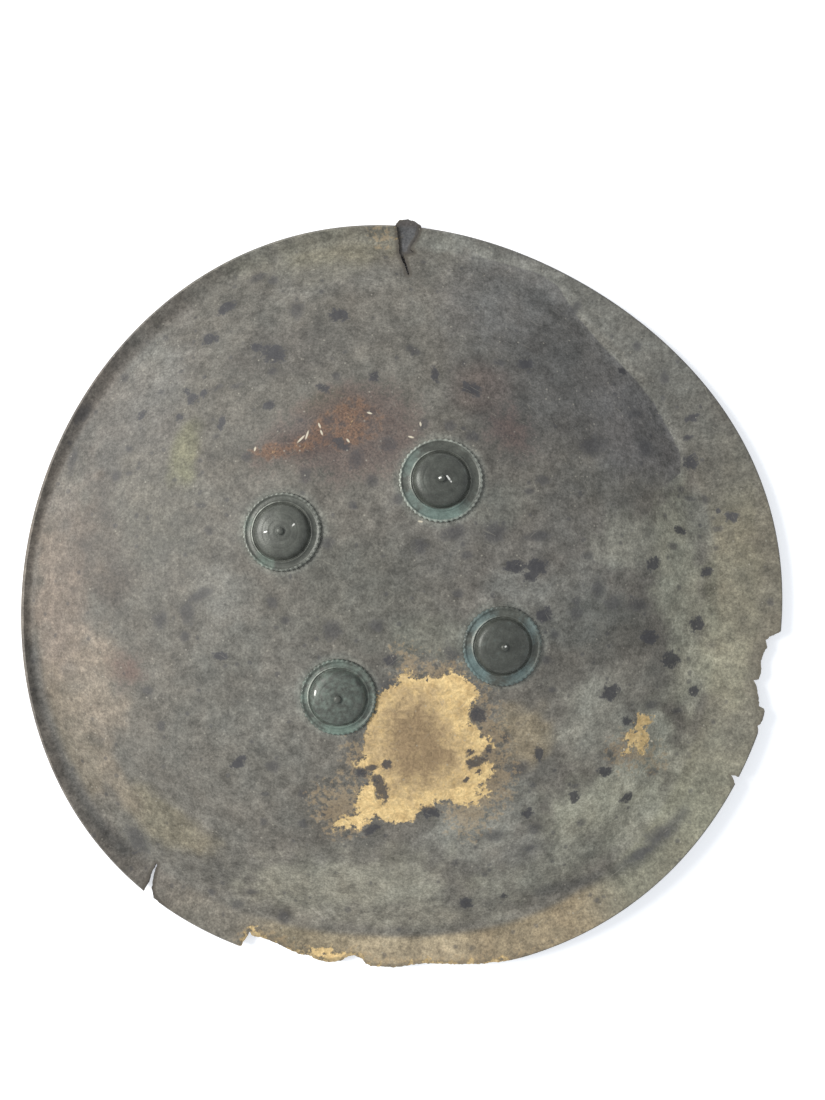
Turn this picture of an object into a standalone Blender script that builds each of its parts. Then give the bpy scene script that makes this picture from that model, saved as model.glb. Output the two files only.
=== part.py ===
"""A round fighting shield of pressed hide, lying on its rim with the outer face up.

The hide is one domed sheet with a turned-up lip. Four hollow metal bosses sit in seats
pressed flat into it, each held by one rivet that is clenched over inside the dome.
The shield is old: stretches of its lip are broken away, and its rim is torn in two places.

Units are metres and degrees. +Z is up, X is across the face and Y runs up it. The bearing
of a point is counted anticlockwise from +X. The origin is on the surface that the shield
lies on, under the middle of its outline.
"""

import math

import bmesh
import bpy
from mathutils import Vector

UP = Vector((0, 0, 1))

# The hide's outline, and the small waves that time has pulled it into.
# A wave is (lobes around the rim, share of the mean, bearing of one crest).
RIM_RADIUS = 0.240
OUTLINE_WAVES = ((2, 0.0086, 0), (3, 0.0130, -13), (4, 0.0059, 26), (5, 0.0030, 18))

# The lip that turns up outside the trough. The shield lies on the underside of the trough,
# which has worn flat there. Softness and the flat are shares of the lip's width.
LIP_WIDTH = 0.0198
LIP_WAVES = ((1, 0.646, -18), (2, 0.167, 2), (3, 0.212, 7))
LIP_RISE = 0.0075
LIP_RISE_WITH_WIDTH = 0.3
TROUGH_SOFTNESS = 0.5
CREASE_BEARING = 44
CREASE_SPREAD = 48
CREASE_SHARPNESS = 0.7
REST_SHARE = 0.2
REST_WEAR = 0.0004

# The dome, and the stretch of its edge that has warped up off the ground
CROWN_RISE = 0.051
CROWN_POWER = 2.7
WARP_RISE = 0.008
WARP_BEARING = -52
WARP_SPREAD = 54
WARP_START = 0.45

# The hide is thickest across the middle and thins towards the rim
CROWN_THICKNESS = 0.0046
RIM_THICKNESS = 0.0034
THINNING_START = 0.58

# The bosses: one size of dome on four widths of flange, set around the middle of the four
BOSS_MIDDLE = (-0.0027, 0.0104)
BOSS_NAMES = ("upper_right", "upper_left", "lower_left", "lower_right")
BOSS_BEARINGS = (65.3, 152.4, 244.1, 332.7)
BOSS_DISTANCES = (0.0713, 0.0733, 0.0717, 0.0748)
DOME_RADIUS = 0.0168
FLANGE_WIDTHS = (0.0086, 0.0071, 0.0063, 0.0074)
FLANGE_RADII = tuple(DOME_RADIUS + width for width in FLANGE_WIDTHS)
BOSSES = tuple(zip(BOSS_NAMES, BOSS_BEARINGS, BOSS_DISTANCES, FLANGE_RADII))
BOSS_HEIGHT = 0.0075
BOSS_WALL = 0.0013
FLANGE_THICKNESS = 0.0013
DOME_OUTSIDE = ((0.5, 0.93), (0.82, 0.79), (0.95, 0.55))  # shares of its radius and height
DOME_INSIDE = ((0.91, 0.42), (0.80, 0.62), (0.5, 0.75))
BEAD_WIDTH = 0.0022
BEAD_RISE = 0.0005
TOOTH_DEPTH = 0.0007
TEETH = 48
SEAT_MARGIN = 0.001
SEAT_FADE = 0.011

# The rivets, and the clearance that parts keep from each other
SHANK_RADIUS = 0.0012
HEAD_RADIUS = 0.0022
HEAD_HEIGHT = 0.0015
HEAD_SHOULDER = (0.6, 0.85)  # shares of the head's radius and height
HEAD_EDGE = 0.35
CLENCH_RADIUS = 0.0034
CLENCH_HEIGHT = 0.0013
CLENCH_SHOULDER = (0.8, 0.75)
CLEARANCE = 0.0003

# What is lost from the rim: (bearing, depth inside the outline). A depth below zero lies
# outside the hide. The list runs along the broken edge, and may double back on itself.
LOSSES = {
    "right_lip": (
        (356.1, -0.0010),
        (355.9, 0.0004),
        (354.8, 0.0074),
        (354.3, 0.0093),
        (353.3, 0.0079),
        (352.3, 0.0094),
        (351.0, 0.0104),
        (349.1, 0.0089),
        (348.1, 0.0097),
        (347.8, 0.0122),
        (347.0, 0.0097),
        (345.4, 0.0069),
        (344.2, 0.0054),
        (344.0, 0.0023),
        (343.6, 0.0012),
        (342.4, 0.0007),
        (341.7, 0.0013),
        (341.3, 0.0026),
        (340.1, 0.0005),
        (338.6, -0.0010),
    ),
    "right_nick": ((333.3, -0.0010), (332.9, 0.0055), (331.6, -0.0010)),
    "bottom_lip": (
        (292.0, -0.0010),
        (290.0, 0.0004),
        (286.5, 0.0018),
        (283.0, 0.0031),
        (280.0, 0.0046),
        (277.0, 0.0060),
        (274.5, 0.0069),
        (269.7, 0.0050),
        (265.9, 0.0053),
        (265.1, 0.0063),
        (264.4, 0.0094),
        (263.1, 0.0107),
        (262.2, 0.0095),
        (261.2, 0.0067),
        (259.3, 0.0050),
        (257.7, 0.0051),
        (256.1, 0.0069),
        (254.5, 0.0064),
        (252.4, 0.0081),
        (250.2, 0.0095),
        (248.2, 0.0101),
        (246.6, 0.0092),
        (245.9, 0.0108),
        (245.8, 0.0059),
        (245.6, 0.0018),
        (245.0, -0.0010),
    ),
    "lower_left_crack": (
        (233.6, -0.0010),
        (232.6, 0.0008),
        (231.6, 0.0009),
        (230.5, 0.0018),
        (229.3, 0.0056),
        (228.3, 0.0114),
        (227.5, 0.0180),
        (227.3, 0.0180),
        (227.9, 0.0103),
        (228.4, 0.0069),
        (228.8, -0.0010),
    ),
    "top_tear": (
        (90.1, -0.0010),
        (90.0, 0.0010),
        (89.7, 0.0102),
        (89.5, 0.0187),
        (89.0, 0.0239),
        (88.4, 0.0283),
        (88.0, 0.0334),
        (87.8, 0.0330),
        (88.1, 0.0280),
        (88.6, 0.0230),
        (88.9, 0.0190),
        (87.2, 0.0169),
        (87.8, 0.0146),
        (87.4, 0.0109),
        (86.8, 0.0070),
        (86.2, -0.0010),
    ),
}
OUTSIDE_REACH = 0.012

# Under the torn-out wedge a thinner layer is left, which stands a little proud of the rim
TORN_DEPTH = 0.0018
LAYER_STEP = 0.0002
LAYER_OUTLINE = (
    (90.0, -0.0004),
    (89.4, -0.0022),
    (88.3, -0.0030),
    (87.2, -0.0020),
    (86.3, -0.0004),
    (86.0, 0.0040),
    (86.3, 0.0120),
    (86.5, 0.0200),
    (90.0, 0.0210),
    (90.4, 0.0120),
    (90.6, 0.0040),
)

# Linear colour, roughness and how metallic the surface is
HIDE_FINISH = ((0.17, 0.155, 0.135), 0.6, 0)
METAL_FINISH = ((0.13, 0.15, 0.12), 0.5, 0.9)

# Mesh fineness
SPOKES = 80
DOME_SHARES = (0, 0.2, 0.27, 0.335, 0.4, 0.465, 0.54, 0.64, 0.75, 0.86, 0.94, 1)
LIP_SHARES = (0, 0.5, 1)
BOSS_STEPS = 24
RIVET_STEPS = 12

CUTTER_HEIGHT = 0.16
HOLE_CUTTER_LENGTH = 0.03
SLOPE_STEP = 0.002
MERGE_DISTANCE = 1e-5
SEAM_SHARE = 0.01  # of the step between two rings, where the spun disc closes on itself


def wave_sum(waves, bearing):
    """The waves' sum at a bearing, as a share of the mean."""
    return sum(
        share * math.cos(lobes * math.radians(bearing - crest))
        for lobes, share, crest in waves
    )


def smooth_step(value):
    value = min(max(value, 0.0), 1.0)
    return value * value * (3 - 2 * value)


def hump(bearing, middle, spread):
    """1 at the middle bearing, falling smoothly to 0 at the spread on either side."""
    away = abs((bearing - middle + 180) % 360 - 180)
    return math.cos(math.pi / 2 * min(away / spread, 1)) ** 2


def outline_radius(bearing):
    return RIM_RADIUS * (1 + wave_sum(OUTLINE_WAVES, bearing))


def lip_width(bearing):
    return LIP_WIDTH * (1 + wave_sum(LIP_WAVES, bearing))


def rest_radius(bearing):
    """The bottom of the trough, where the hide touches the ground."""
    return outline_radius(bearing) - lip_width(bearing)


def lip_slope(bearing):
    width = lip_width(bearing)
    rise = LIP_RISE * (1 - LIP_RISE_WITH_WIDTH + LIP_RISE_WITH_WIDTH * width / LIP_WIDTH)
    return rise / width


def pressed_height(x, y):
    """The outer face above the bottom of the trough, as two slopes rounded into each other."""
    radius = math.hypot(x, y)
    bearing = math.degrees(math.atan2(y, x))
    width = lip_width(bearing)
    rest = rest_radius(bearing)
    outer_slope = lip_slope(bearing)
    inner_slope = CROWN_POWER * CROWN_RISE / rest
    creased = CREASE_SHARPNESS * hump(bearing, CREASE_BEARING, CREASE_SPREAD)
    rounding = TROUGH_SOFTNESS * width * (1 - creased)
    both_slopes = (inner_slope + outer_slope) ** 2
    corner = rest - rounding * (inner_slope - outer_slope) / both_slopes
    sunk = rounding * inner_slope * outer_slope / both_slopes

    dome = CROWN_RISE - (CROWN_RISE + sunk) * (radius / corner) ** CROWN_POWER
    lip = outer_slope * (radius - corner) - sunk
    shared = max(rounding - abs(dome - lip), 0)
    warp_share = smooth_step((radius / rest - WARP_START) / (1 - WARP_START))
    warp = WARP_RISE * hump(bearing, WARP_BEARING, WARP_SPREAD) * warp_share
    return max(dome, lip) + shared**2 / (4 * rounding) + warp


def polar(radius, bearing):
    return (radius * math.cos(math.radians(bearing)), radius * math.sin(math.radians(bearing)))


def boss_place(bearing, distance):
    """A boss's centre in plan."""
    x, y = polar(distance, bearing)
    return (BOSS_MIDDLE[0] + x, BOSS_MIDDLE[1] + y)


def face_slopes(x, y):
    """The face's slope along X and along Y."""
    step = SLOPE_STEP
    return (
        (pressed_height(x + step, y) - pressed_height(x - step, y)) / (2 * step),
        (pressed_height(x, y + step) - pressed_height(x, y - step)) / (2 * step),
    )


def seated_height(x, y):
    """pressed_height with a flat seat under each boss."""
    height = pressed_height(x, y)
    for _, bearing, distance, flange_radius in BOSSES:
        boss_x, boss_y = boss_place(bearing, distance)
        away = math.hypot(x - boss_x, y - boss_y) - flange_radius - SEAT_MARGIN
        if away > SEAT_FADE:
            continue
        slope_x, slope_y = face_slopes(boss_x, boss_y)
        seat = pressed_height(boss_x, boss_y)
        seat += slope_x * (x - boss_x) + slope_y * (y - boss_y)
        height += (seat - height) * (1 - smooth_step(away / SEAT_FADE))
    return height


def face_point(x, y):
    """A point on the outer face, with the worn underside of the trough at zero height."""
    return Vector((x, y, seated_height(x, y) + RIM_THICKNESS - REST_WEAR))


def hide_thickness(x, y):
    bearing = math.degrees(math.atan2(y, x))
    share = math.hypot(x, y) / rest_radius(bearing)
    thinned = smooth_step((share - THINNING_START) / (1 - THINNING_START))
    return CROWN_THICKNESS + (RIM_THICKNESS - CROWN_THICKNESS) * thinned


def ring_radius(ring, bearing, overhang):
    """The radius of one of the sheet's rings, counted from the middle out to the rim.

    The rim is cut square to the lip, so its lower edge leans out to the outline.
    """
    flat = REST_SHARE * lip_width(bearing)
    inner = rest_radius(bearing) - flat / 2
    outer = inner + flat
    if ring < len(DOME_SHARES):
        return inner * DOME_SHARES[ring]
    lean = RIM_THICKNESS * math.sin(math.atan(lip_slope(bearing)))
    edge = outline_radius(bearing) - lean + overhang
    return outer + (edge - outer) * LIP_SHARES[ring - len(DOME_SHARES)]


def in_plan(bearing, depth):
    """The plan point at a bearing, a depth inside the outline."""
    return polar(outline_radius(bearing) - depth, bearing)


def new_collection(name):
    collection = bpy.data.collections.new(name)
    bpy.context.scene.collection.children.link(collection)
    return collection


def new_material(name, colour, roughness, metallic):
    material = bpy.data.materials.new(name)
    material.use_nodes = True
    shader = material.node_tree.nodes["Principled BSDF"]
    shader.inputs["Base Color"].default_value = (*colour, 1)
    shader.inputs["Roughness"].default_value = roughness
    shader.inputs["Metallic"].default_value = metallic
    return material


def new_object(name, mesh, collection, material=None):
    made = bpy.data.objects.new(name, mesh)
    collection.objects.link(made)
    if material:
        mesh.materials.append(material)
    return made


def as_helper(helper):
    """Cutters and guides are drawn as wires and left out of the model."""
    helper.hide_render = True
    helper.display_type = "WIRE"
    return helper


def pressed_sheet(name, collection, drop, overhang, thickness_at):
    """A flat disc of spun rings, pushed to the pressed shape and given its thickness."""
    ring_count = len(DOME_SHARES) + len(LIP_SHARES)
    sheet = bmesh.new()
    line = [sheet.verts.new((ring, 0, 0)) for ring in range(ring_count)]
    edges = [sheet.edges.new(pair) for pair in zip(line, line[1:])]
    bmesh.ops.spin(
        sheet, geom=line + edges, cent=(0, 0, 0), axis=(0, 0, 1), angle=math.tau, steps=SPOKES
    )
    bmesh.ops.remove_doubles(sheet, verts=sheet.verts, dist=SEAM_SHARE)
    for vertex in sheet.verts:
        bearing = math.degrees(math.atan2(vertex.co.y, vertex.co.x))
        radius = ring_radius(round(vertex.co.to_2d().length), bearing, overhang)
        vertex.co = face_point(*polar(radius, bearing))
        vertex.co.z -= drop
    bmesh.ops.recalc_face_normals(sheet, faces=sheet.faces)
    mesh = bpy.data.meshes.new(name)
    sheet.to_mesh(mesh)
    sheet.free()
    if mesh.polygons[0].normal.z < 0:
        mesh.flip_normals()

    made = new_object(name, mesh, collection)
    thickest = max(thickness_at(v.co.x, v.co.y) for v in mesh.vertices)
    weights = made.vertex_groups.new(name="thickness")
    for vertex in mesh.vertices:
        share = thickness_at(vertex.co.x, vertex.co.y) / thickest
        weights.add([vertex.index], share, "REPLACE")
    solidify = made.modifiers.new("thickness", "SOLIDIFY")
    solidify.thickness = thickest
    solidify.offset = -1
    solidify.vertex_group = weights.name
    return made


def flat_plate(name, outlines, thickness, collection):
    """A plate between closed outlines in plan, about zero height, as a mesh."""
    curve = bpy.data.curves.new(name, "CURVE")
    curve.dimensions = "2D"
    curve.fill_mode = "BOTH"
    curve.extrude = thickness / 2
    for outline in outlines:
        spline = curve.splines.new("POLY")
        spline.points.add(len(outline) - 1)
        for point, (x, y) in zip(spline.points, outline):
            point.co = (x, y, 0, 1)
        spline.use_cyclic_u = True
    guide = new_object(name + "_outline", curve, collection)
    graph = bpy.context.evaluated_depsgraph_get()
    mesh = bpy.data.meshes.new_from_object(guide.evaluated_get(graph))
    bpy.data.objects.remove(guide)
    plate = bmesh.new()
    plate.from_mesh(mesh)
    bmesh.ops.remove_doubles(plate, verts=plate.verts, dist=MERGE_DISTANCE)
    bmesh.ops.recalc_face_normals(plate, faces=plate.faces)
    plate.to_mesh(mesh)
    plate.free()
    return as_helper(new_object(name, mesh, collection))


def box_cutter(name, corner_low, corner_high, collection):
    box = bmesh.new()
    bmesh.ops.create_cube(box, size=1)
    low, high = Vector(corner_low), Vector(corner_high)
    for vertex in box.verts:
        vertex.co = (low + high) / 2 + vertex.co * (high - low)
    mesh = bpy.data.meshes.new(name)
    box.to_mesh(mesh)
    box.free()
    return as_helper(new_object(name, mesh, collection))


def cylinder_cutter(name, radius, length, steps, collection):
    cylinder = bmesh.new()
    bmesh.ops.create_cone(
        cylinder, cap_ends=True, segments=steps, radius1=radius, radius2=radius, depth=length
    )
    mesh = bpy.data.meshes.new(name)
    cylinder.to_mesh(mesh)
    cylinder.free()
    return as_helper(new_object(name, mesh, collection))


def turned_object(name, profile, steps, collection, material):
    """A profile in the XZ plane, down its outer side first, turned about Z."""
    mesh = bpy.data.meshes.new(name)
    mesh.from_pydata(
        [(radius, 0, height) for radius, height in profile],
        [(i, (i + 1) % len(profile)) for i in range(len(profile))],
        [],
    )
    if profile[0][0] == 0:
        open_line = bmesh.new()
        open_line.from_mesh(mesh)
        on_axis = [e for e in open_line.edges if all(v.co.x == 0 for v in e.verts)]
        bmesh.ops.delete(open_line, geom=on_axis, context="EDGES")
        open_line.to_mesh(mesh)
        open_line.free()
    made = new_object(name, mesh, collection, material)
    screw = made.modifiers.new("turned", "SCREW")
    screw.steps = screw.render_steps = steps
    screw.use_merge_vertices = True
    screw.merge_threshold = MERGE_DISTANCE
    return made


def add_boolean(target, cutter, operation):
    modifier = target.modifiers.new(cutter.name, "BOOLEAN")
    modifier.object = cutter
    modifier.operation = operation
    modifier.solver = "EXACT"


def broken_outline(broken_edge):
    """A broken edge in plan, closed round outside the rim."""
    first, last = broken_edge[0][0], broken_edge[-1][0]
    outside = [(bearing, -OUTSIDE_REACH) for bearing in (last, (first + last) / 2, first)]
    return [in_plan(*point) for point in (*broken_edge, *outside)]


def make_torn_layer(cutters):
    """The thinner layer under the torn-out wedge: a lower sheet, cut to the layer's outline."""

    def layer_thickness(x, y):
        return hide_thickness(x, y) - TORN_DEPTH - LAYER_STEP

    layer = pressed_sheet("torn_layer", cutters, TORN_DEPTH, OUTSIDE_REACH, layer_thickness)
    outline = [in_plan(*point) for point in LAYER_OUTLINE]
    bounds = flat_plate("layer_bounds", [outline], CUTTER_HEIGHT, cutters)
    add_boolean(layer, bounds, "INTERSECT")
    return as_helper(layer)


def make_hide(parts, cutters):
    """The pressed sheet, less what is broken and worn away, plus the layer in the tear."""
    hide = pressed_sheet("hide", parts, 0, 0, hide_thickness)
    hide.data.materials.append(new_material("old hide", *HIDE_FINISH))
    hide.data.shade_smooth()
    for name, broken_edge in LOSSES.items():
        outline = broken_outline(broken_edge)
        cutter = flat_plate("cut_" + name, [outline], CUTTER_HEIGHT, cutters)
        add_boolean(hide, cutter, "DIFFERENCE")
    add_boolean(hide, make_torn_layer(cutters), "UNION")

    reach = RIM_RADIUS * 2
    ground = box_cutter("cut_ground", (-reach, -reach, -reach), (reach, reach, 0), cutters)
    add_boolean(hide, ground, "DIFFERENCE")
    return hide


def make_seat(name, bearing, distance, collection):
    """An empty on the hide's face at a boss's centre, with its Z axis square to the face."""
    x, y = boss_place(bearing, distance)
    slope_x, slope_y = face_slopes(x, y)
    seat = bpy.data.objects.new("seat_" + name, None)
    seat.empty_display_size = BOSS_HEIGHT
    seat.location = face_point(x, y)
    seat.rotation_mode = "QUATERNION"
    seat.rotation_quaternion = UP.rotation_difference(Vector((-slope_x, -slope_y, 1)))
    collection.objects.link(seat)
    return seat, hide_thickness(x, y)


def boss_profile(flange_radius):
    """The turned shell of a boss, standing on zero height: outer side down, then the inside."""
    bore = SHANK_RADIUS + CLEARANCE
    top, wall, plate = BOSS_HEIGHT, BOSS_WALL, FLANGE_THICKNESS
    return (
        (bore, top),
        *((DOME_RADIUS * across, top * up) for across, up in DOME_OUTSIDE),
        (DOME_RADIUS, plate),
        (flange_radius - BEAD_WIDTH / 2, plate),
        (flange_radius - BEAD_WIDTH / 2, 0),
        (DOME_RADIUS - wall, 0),
        *((DOME_RADIUS * across, top * up) for across, up in DOME_INSIDE),
        (bore, top - wall),
    )


def milled_bead(name, flange_radius, cutters):
    """The toothed bead that runs around the edge of a flange."""
    radii = (flange_radius, flange_radius - TOOTH_DEPTH)
    teeth = [polar(radii[i % 2], 180 * i / TEETH) for i in range(2 * TEETH)]
    inner = [
        polar(flange_radius - BEAD_WIDTH, 360 * i / BOSS_STEPS) for i in range(BOSS_STEPS)
    ]
    height = FLANGE_THICKNESS + BEAD_RISE
    bead = flat_plate("bead_" + name, [teeth, inner], height, cutters)
    bead.location.z = height / 2
    return bead


def make_boss(name, flange_radius, seat, parts, cutters, metal):
    """A hollow boss on its seat. Its bead is a helper that rides on the same seat."""
    profile = boss_profile(flange_radius)
    boss = turned_object("boss_" + name, profile, BOSS_STEPS, parts, metal)
    bead = milled_bead(name, flange_radius, cutters)
    add_boolean(boss, bead, "UNION")
    bead.parent = boss.parent = seat
    for piece in (boss, bead):
        piece.location.z += CLEARANCE
    return boss


def rivet_profile(grip):
    """One rivet, with zero height under its head and its clench a grip's length below."""
    return (
        (0, HEAD_HEIGHT),
        (HEAD_RADIUS * HEAD_SHOULDER[0], HEAD_HEIGHT * HEAD_SHOULDER[1]),
        (HEAD_RADIUS, HEAD_HEIGHT * HEAD_EDGE),
        (HEAD_RADIUS, 0),
        (SHANK_RADIUS, 0),
        (SHANK_RADIUS, -grip),
        (CLENCH_RADIUS, -grip),
        (CLENCH_RADIUS * CLENCH_SHOULDER[0], -grip - CLENCH_HEIGHT * CLENCH_SHOULDER[1]),
        (0, -grip - CLENCH_HEIGHT),
    )


def make_rivet(name, seat, thickness, hide, parts, cutters, metal):
    """A rivet through boss and hide, with the hole that it passes through."""
    under_head = CLEARANCE + BOSS_HEIGHT + CLEARANCE
    grip = under_head + thickness + CLEARANCE
    rivet = turned_object("rivet_" + name, rivet_profile(grip), RIVET_STEPS, parts, metal)
    rivet.location.z = under_head
    radius = SHANK_RADIUS + CLEARANCE
    hole = cylinder_cutter("hole_" + name, radius, HOLE_CUTTER_LENGTH, RIVET_STEPS, cutters)
    rivet.parent = hole.parent = seat
    add_boolean(hide, hole, "DIFFERENCE")
    return rivet


def centre_on_origin(hide, collections):
    """Hangs everything on one empty and moves it, so the outline's middle is at the origin."""
    bpy.context.view_layer.update()
    finished = hide.evaluated_get(bpy.context.evaluated_depsgraph_get())
    corners = [Vector(corner) for corner in finished.bound_box]
    middle = sum(corners, Vector()) / len(corners)
    shield = bpy.data.objects.new("shield", None)
    collections[0].objects.link(shield)
    for collection in collections:
        for piece in collection.objects:
            if piece.parent is None and piece is not shield:
                piece.parent = shield
    shield.location = (-middle.x, -middle.y, 0)


def main():
    for old in list(bpy.data.objects):
        bpy.data.objects.remove(old)
    parts = new_collection("hide shield")
    cutters = new_collection("cutters")
    hide = make_hide(parts, cutters)
    metal = new_material("aged brass", *METAL_FINISH)
    for name, bearing, distance, flange_radius in BOSSES:
        seat, thickness = make_seat(name, bearing, distance, parts)
        make_boss(name, flange_radius, seat, parts, cutters, metal)
        make_rivet(name, seat, thickness, hide, parts, cutters, metal)
    centre_on_origin(hide, (parts, cutters))


main()
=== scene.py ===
# %% [markdown]
# # An old buckler of pressed hide, with four brass bosses
#
# The shield lies on its rim with its outer face up, and the camera looks straight down on it.
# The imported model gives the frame: where each solid is and how big. This lesson lays a fine
# hide over the plain one, turns four fine bosses, and then spends most of its lines on the
# surface, because age is what this shield shows: stains, rubbed places, a patch where the
# dark skin has flaked off, and green corrosion on the brass.

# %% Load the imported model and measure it
import math

import bmesh
import bpy
import numpy as np
from mathutils import Matrix, Vector, noise


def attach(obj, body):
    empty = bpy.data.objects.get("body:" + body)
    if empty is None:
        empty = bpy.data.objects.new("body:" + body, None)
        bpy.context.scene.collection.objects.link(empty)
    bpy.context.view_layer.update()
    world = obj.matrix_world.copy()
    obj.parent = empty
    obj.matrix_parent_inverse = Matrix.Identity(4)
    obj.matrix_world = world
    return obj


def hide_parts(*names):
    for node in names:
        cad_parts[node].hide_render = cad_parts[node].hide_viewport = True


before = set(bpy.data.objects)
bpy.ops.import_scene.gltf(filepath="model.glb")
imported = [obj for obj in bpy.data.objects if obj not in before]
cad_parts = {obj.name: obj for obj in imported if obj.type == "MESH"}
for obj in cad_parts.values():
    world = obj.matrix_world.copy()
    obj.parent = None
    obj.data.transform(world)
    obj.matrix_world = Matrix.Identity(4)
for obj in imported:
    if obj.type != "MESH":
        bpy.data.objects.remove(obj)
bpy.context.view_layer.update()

SEED = 4
noise.seed_set(SEED)

# %% [markdown]
# ## The camera
#
# The picture shows the shield's outline as a near circle and no side of it, so the camera
# looks straight down. How far away it stands decides how much larger the raised bosses look
# than the rim. At 0.8 m above the rim the bosses' spacing matches. A picture point is then a
# ray, and `laid` follows that ray down until it meets the hide, so that a stain measured on
# the picture gets a real place on the domed surface.

# %% Set up the camera
PICTURE_WIDE, PICTURE_HIGH = 825, 1100
OUTLINE_MIDDLE = (-0.00243, -0.00643)
CAMERA_PLACE = (OUTLINE_MIDDLE[0] + 0.0102, OUTLINE_MIDDLE[1] + 0.0336, 0.808)
LENS_MM = 55.2
SENSOR_MM = 36

camera = bpy.data.objects.new("camera", bpy.data.cameras.new("camera"))
bpy.context.collection.objects.link(camera)
camera.location = CAMERA_PLACE
camera.data.sensor_fit = "HORIZONTAL"
camera.data.sensor_width = SENSOR_MM
camera.data.lens = LENS_MM
bpy.context.scene.camera = camera
view_wide_mm = 1000 * (CAMERA_PLACE[2] - 0.008) * SENSOR_MM / LENS_MM
print(f"the picture is {view_wide_mm:.1f} mm wide at the height of the rim")

# %% [markdown]
# ## The pressed shape
#
# A hide shield is one thick raw hide, soaked, pressed over a form and dried hard. It has a
# dome, a trough where it meets the ground and a lip that turns up again. As it dries, the
# outline pulls out of round. The shape is written as heights over the plan, worked out for
# whole arrays of points at once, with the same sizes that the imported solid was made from.

# %% Sizes of the pressed sheet
RIM_RADIUS = 0.240
OUTLINE_WAVES = ((2, 0.0086, 0), (3, 0.0130, -13), (4, 0.0059, 26), (5, 0.0030, 18))
LIP_WIDTH = 0.0198
LIP_WAVES = ((1, 0.646, -18), (2, 0.167, 2), (3, 0.212, 7))
LIP_RISE = 0.0075
LIP_RISE_WITH_WIDTH = 0.3
TROUGH_SOFTNESS = 0.5
CREASE_BEARING, CREASE_SPREAD, CREASE_SHARPNESS = 44, 48, 0.7
CROWN_RISE = 0.051
CROWN_POWER = 2.7
WARP_RISE = 0.008
WARP_BEARING, WARP_SPREAD, WARP_START = -52, 54, 0.45
CROWN_THICKNESS, RIM_THICKNESS, THINNING_START = 0.0046, 0.0034, 0.58
REST_WEAR = 0.0004

BOSS_MIDDLE = (-0.0027, 0.0104)
BOSSES = {
    "upper_right": (65.3, 0.0713, 0.0254),
    "upper_left": (152.4, 0.0733, 0.0239),
    "lower_left": (244.1, 0.0717, 0.0231),
    "lower_right": (332.7, 0.0748, 0.0242),
}
SEAT_MARGIN, SEAT_FADE = 0.001, 0.011


# %% Heights of the outer face
def wave_sum(waves, bearing):
    """Bearings are counted in degrees, anticlockwise from +X."""
    return sum(share * np.cos(lobes * np.radians(bearing - crest)) for lobes, share, crest in waves)


def smooth_step(value):
    value = np.clip(value, 0, 1)
    return value * value * (3 - 2 * value)


def hump(bearing, middle, spread):
    away = np.abs((bearing - middle + 180) % 360 - 180)
    return np.cos(np.pi / 2 * np.minimum(away / spread, 1)) ** 2


def polar(radius, bearing):
    return radius * np.cos(np.radians(bearing)), radius * np.sin(np.radians(bearing))


def bearing_of(x, y):
    return np.degrees(np.arctan2(y, x))


def outline_radius(bearing):
    return RIM_RADIUS * (1 + wave_sum(OUTLINE_WAVES, bearing))


def lip_width(bearing):
    return LIP_WIDTH * (1 + wave_sum(LIP_WAVES, bearing))


def lip_slope(bearing):
    width = lip_width(bearing)
    rise = LIP_RISE * (1 - LIP_RISE_WITH_WIDTH + LIP_RISE_WITH_WIDTH * width / LIP_WIDTH)
    return rise / width


def pressed_height(x, y):
    """The dome and the lip, as two slopes rounded into each other at the trough."""
    radius, bearing = np.hypot(x, y), bearing_of(x, y)
    width = lip_width(bearing)
    rest = outline_radius(bearing) - width
    outer_slope = lip_slope(bearing)
    inner_slope = CROWN_POWER * CROWN_RISE / rest
    creased = CREASE_SHARPNESS * hump(bearing, CREASE_BEARING, CREASE_SPREAD)
    rounding = TROUGH_SOFTNESS * width * (1 - creased)
    both_slopes = (inner_slope + outer_slope) ** 2
    corner = rest - rounding * (inner_slope - outer_slope) / both_slopes
    sunk = rounding * inner_slope * outer_slope / both_slopes
    dome = CROWN_RISE - (CROWN_RISE + sunk) * (radius / corner) ** CROWN_POWER
    lip = outer_slope * (radius - corner) - sunk
    shared = np.maximum(rounding - np.abs(dome - lip), 0)
    warp_share = smooth_step((radius / rest - WARP_START) / (1 - WARP_START))
    warp = WARP_RISE * hump(bearing, WARP_BEARING, WARP_SPREAD) * warp_share
    return np.maximum(dome, lip) + shared**2 / (4 * rounding) + warp


def slopes(height, x, y, step=0.002):
    across = (height(x + step, y) - height(x - step, y)) / (2 * step)
    along = (height(x, y + step) - height(x, y - step)) / (2 * step)
    return across, along


def boss_place(name):
    bearing, distance, _ = BOSSES[name]
    x, y = polar(distance, bearing)
    return BOSS_MIDDLE[0] + x, BOSS_MIDDLE[1] + y


def beyond_flange(name, x, y):
    """How far a place is in plan outside a boss's flange."""
    boss_x, boss_y = boss_place(name)
    return np.hypot(x - boss_x, y - boss_y) - BOSSES[name][2]


def face_height(x, y):
    """The outer face above the ground, with the flat seat pressed in under each boss."""
    height = pressed_height(x, y)
    for name in BOSSES:
        boss_x, boss_y = boss_place(name)
        across, along = slopes(pressed_height, boss_x, boss_y)
        seat = pressed_height(boss_x, boss_y) + across * (x - boss_x) + along * (y - boss_y)
        away = beyond_flange(name, x, y) - SEAT_MARGIN
        height = height + (seat - height) * (1 - smooth_step(away / SEAT_FADE))
    return height + RIM_THICKNESS - REST_WEAR


FIRST_GUESS = 0.03


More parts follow.
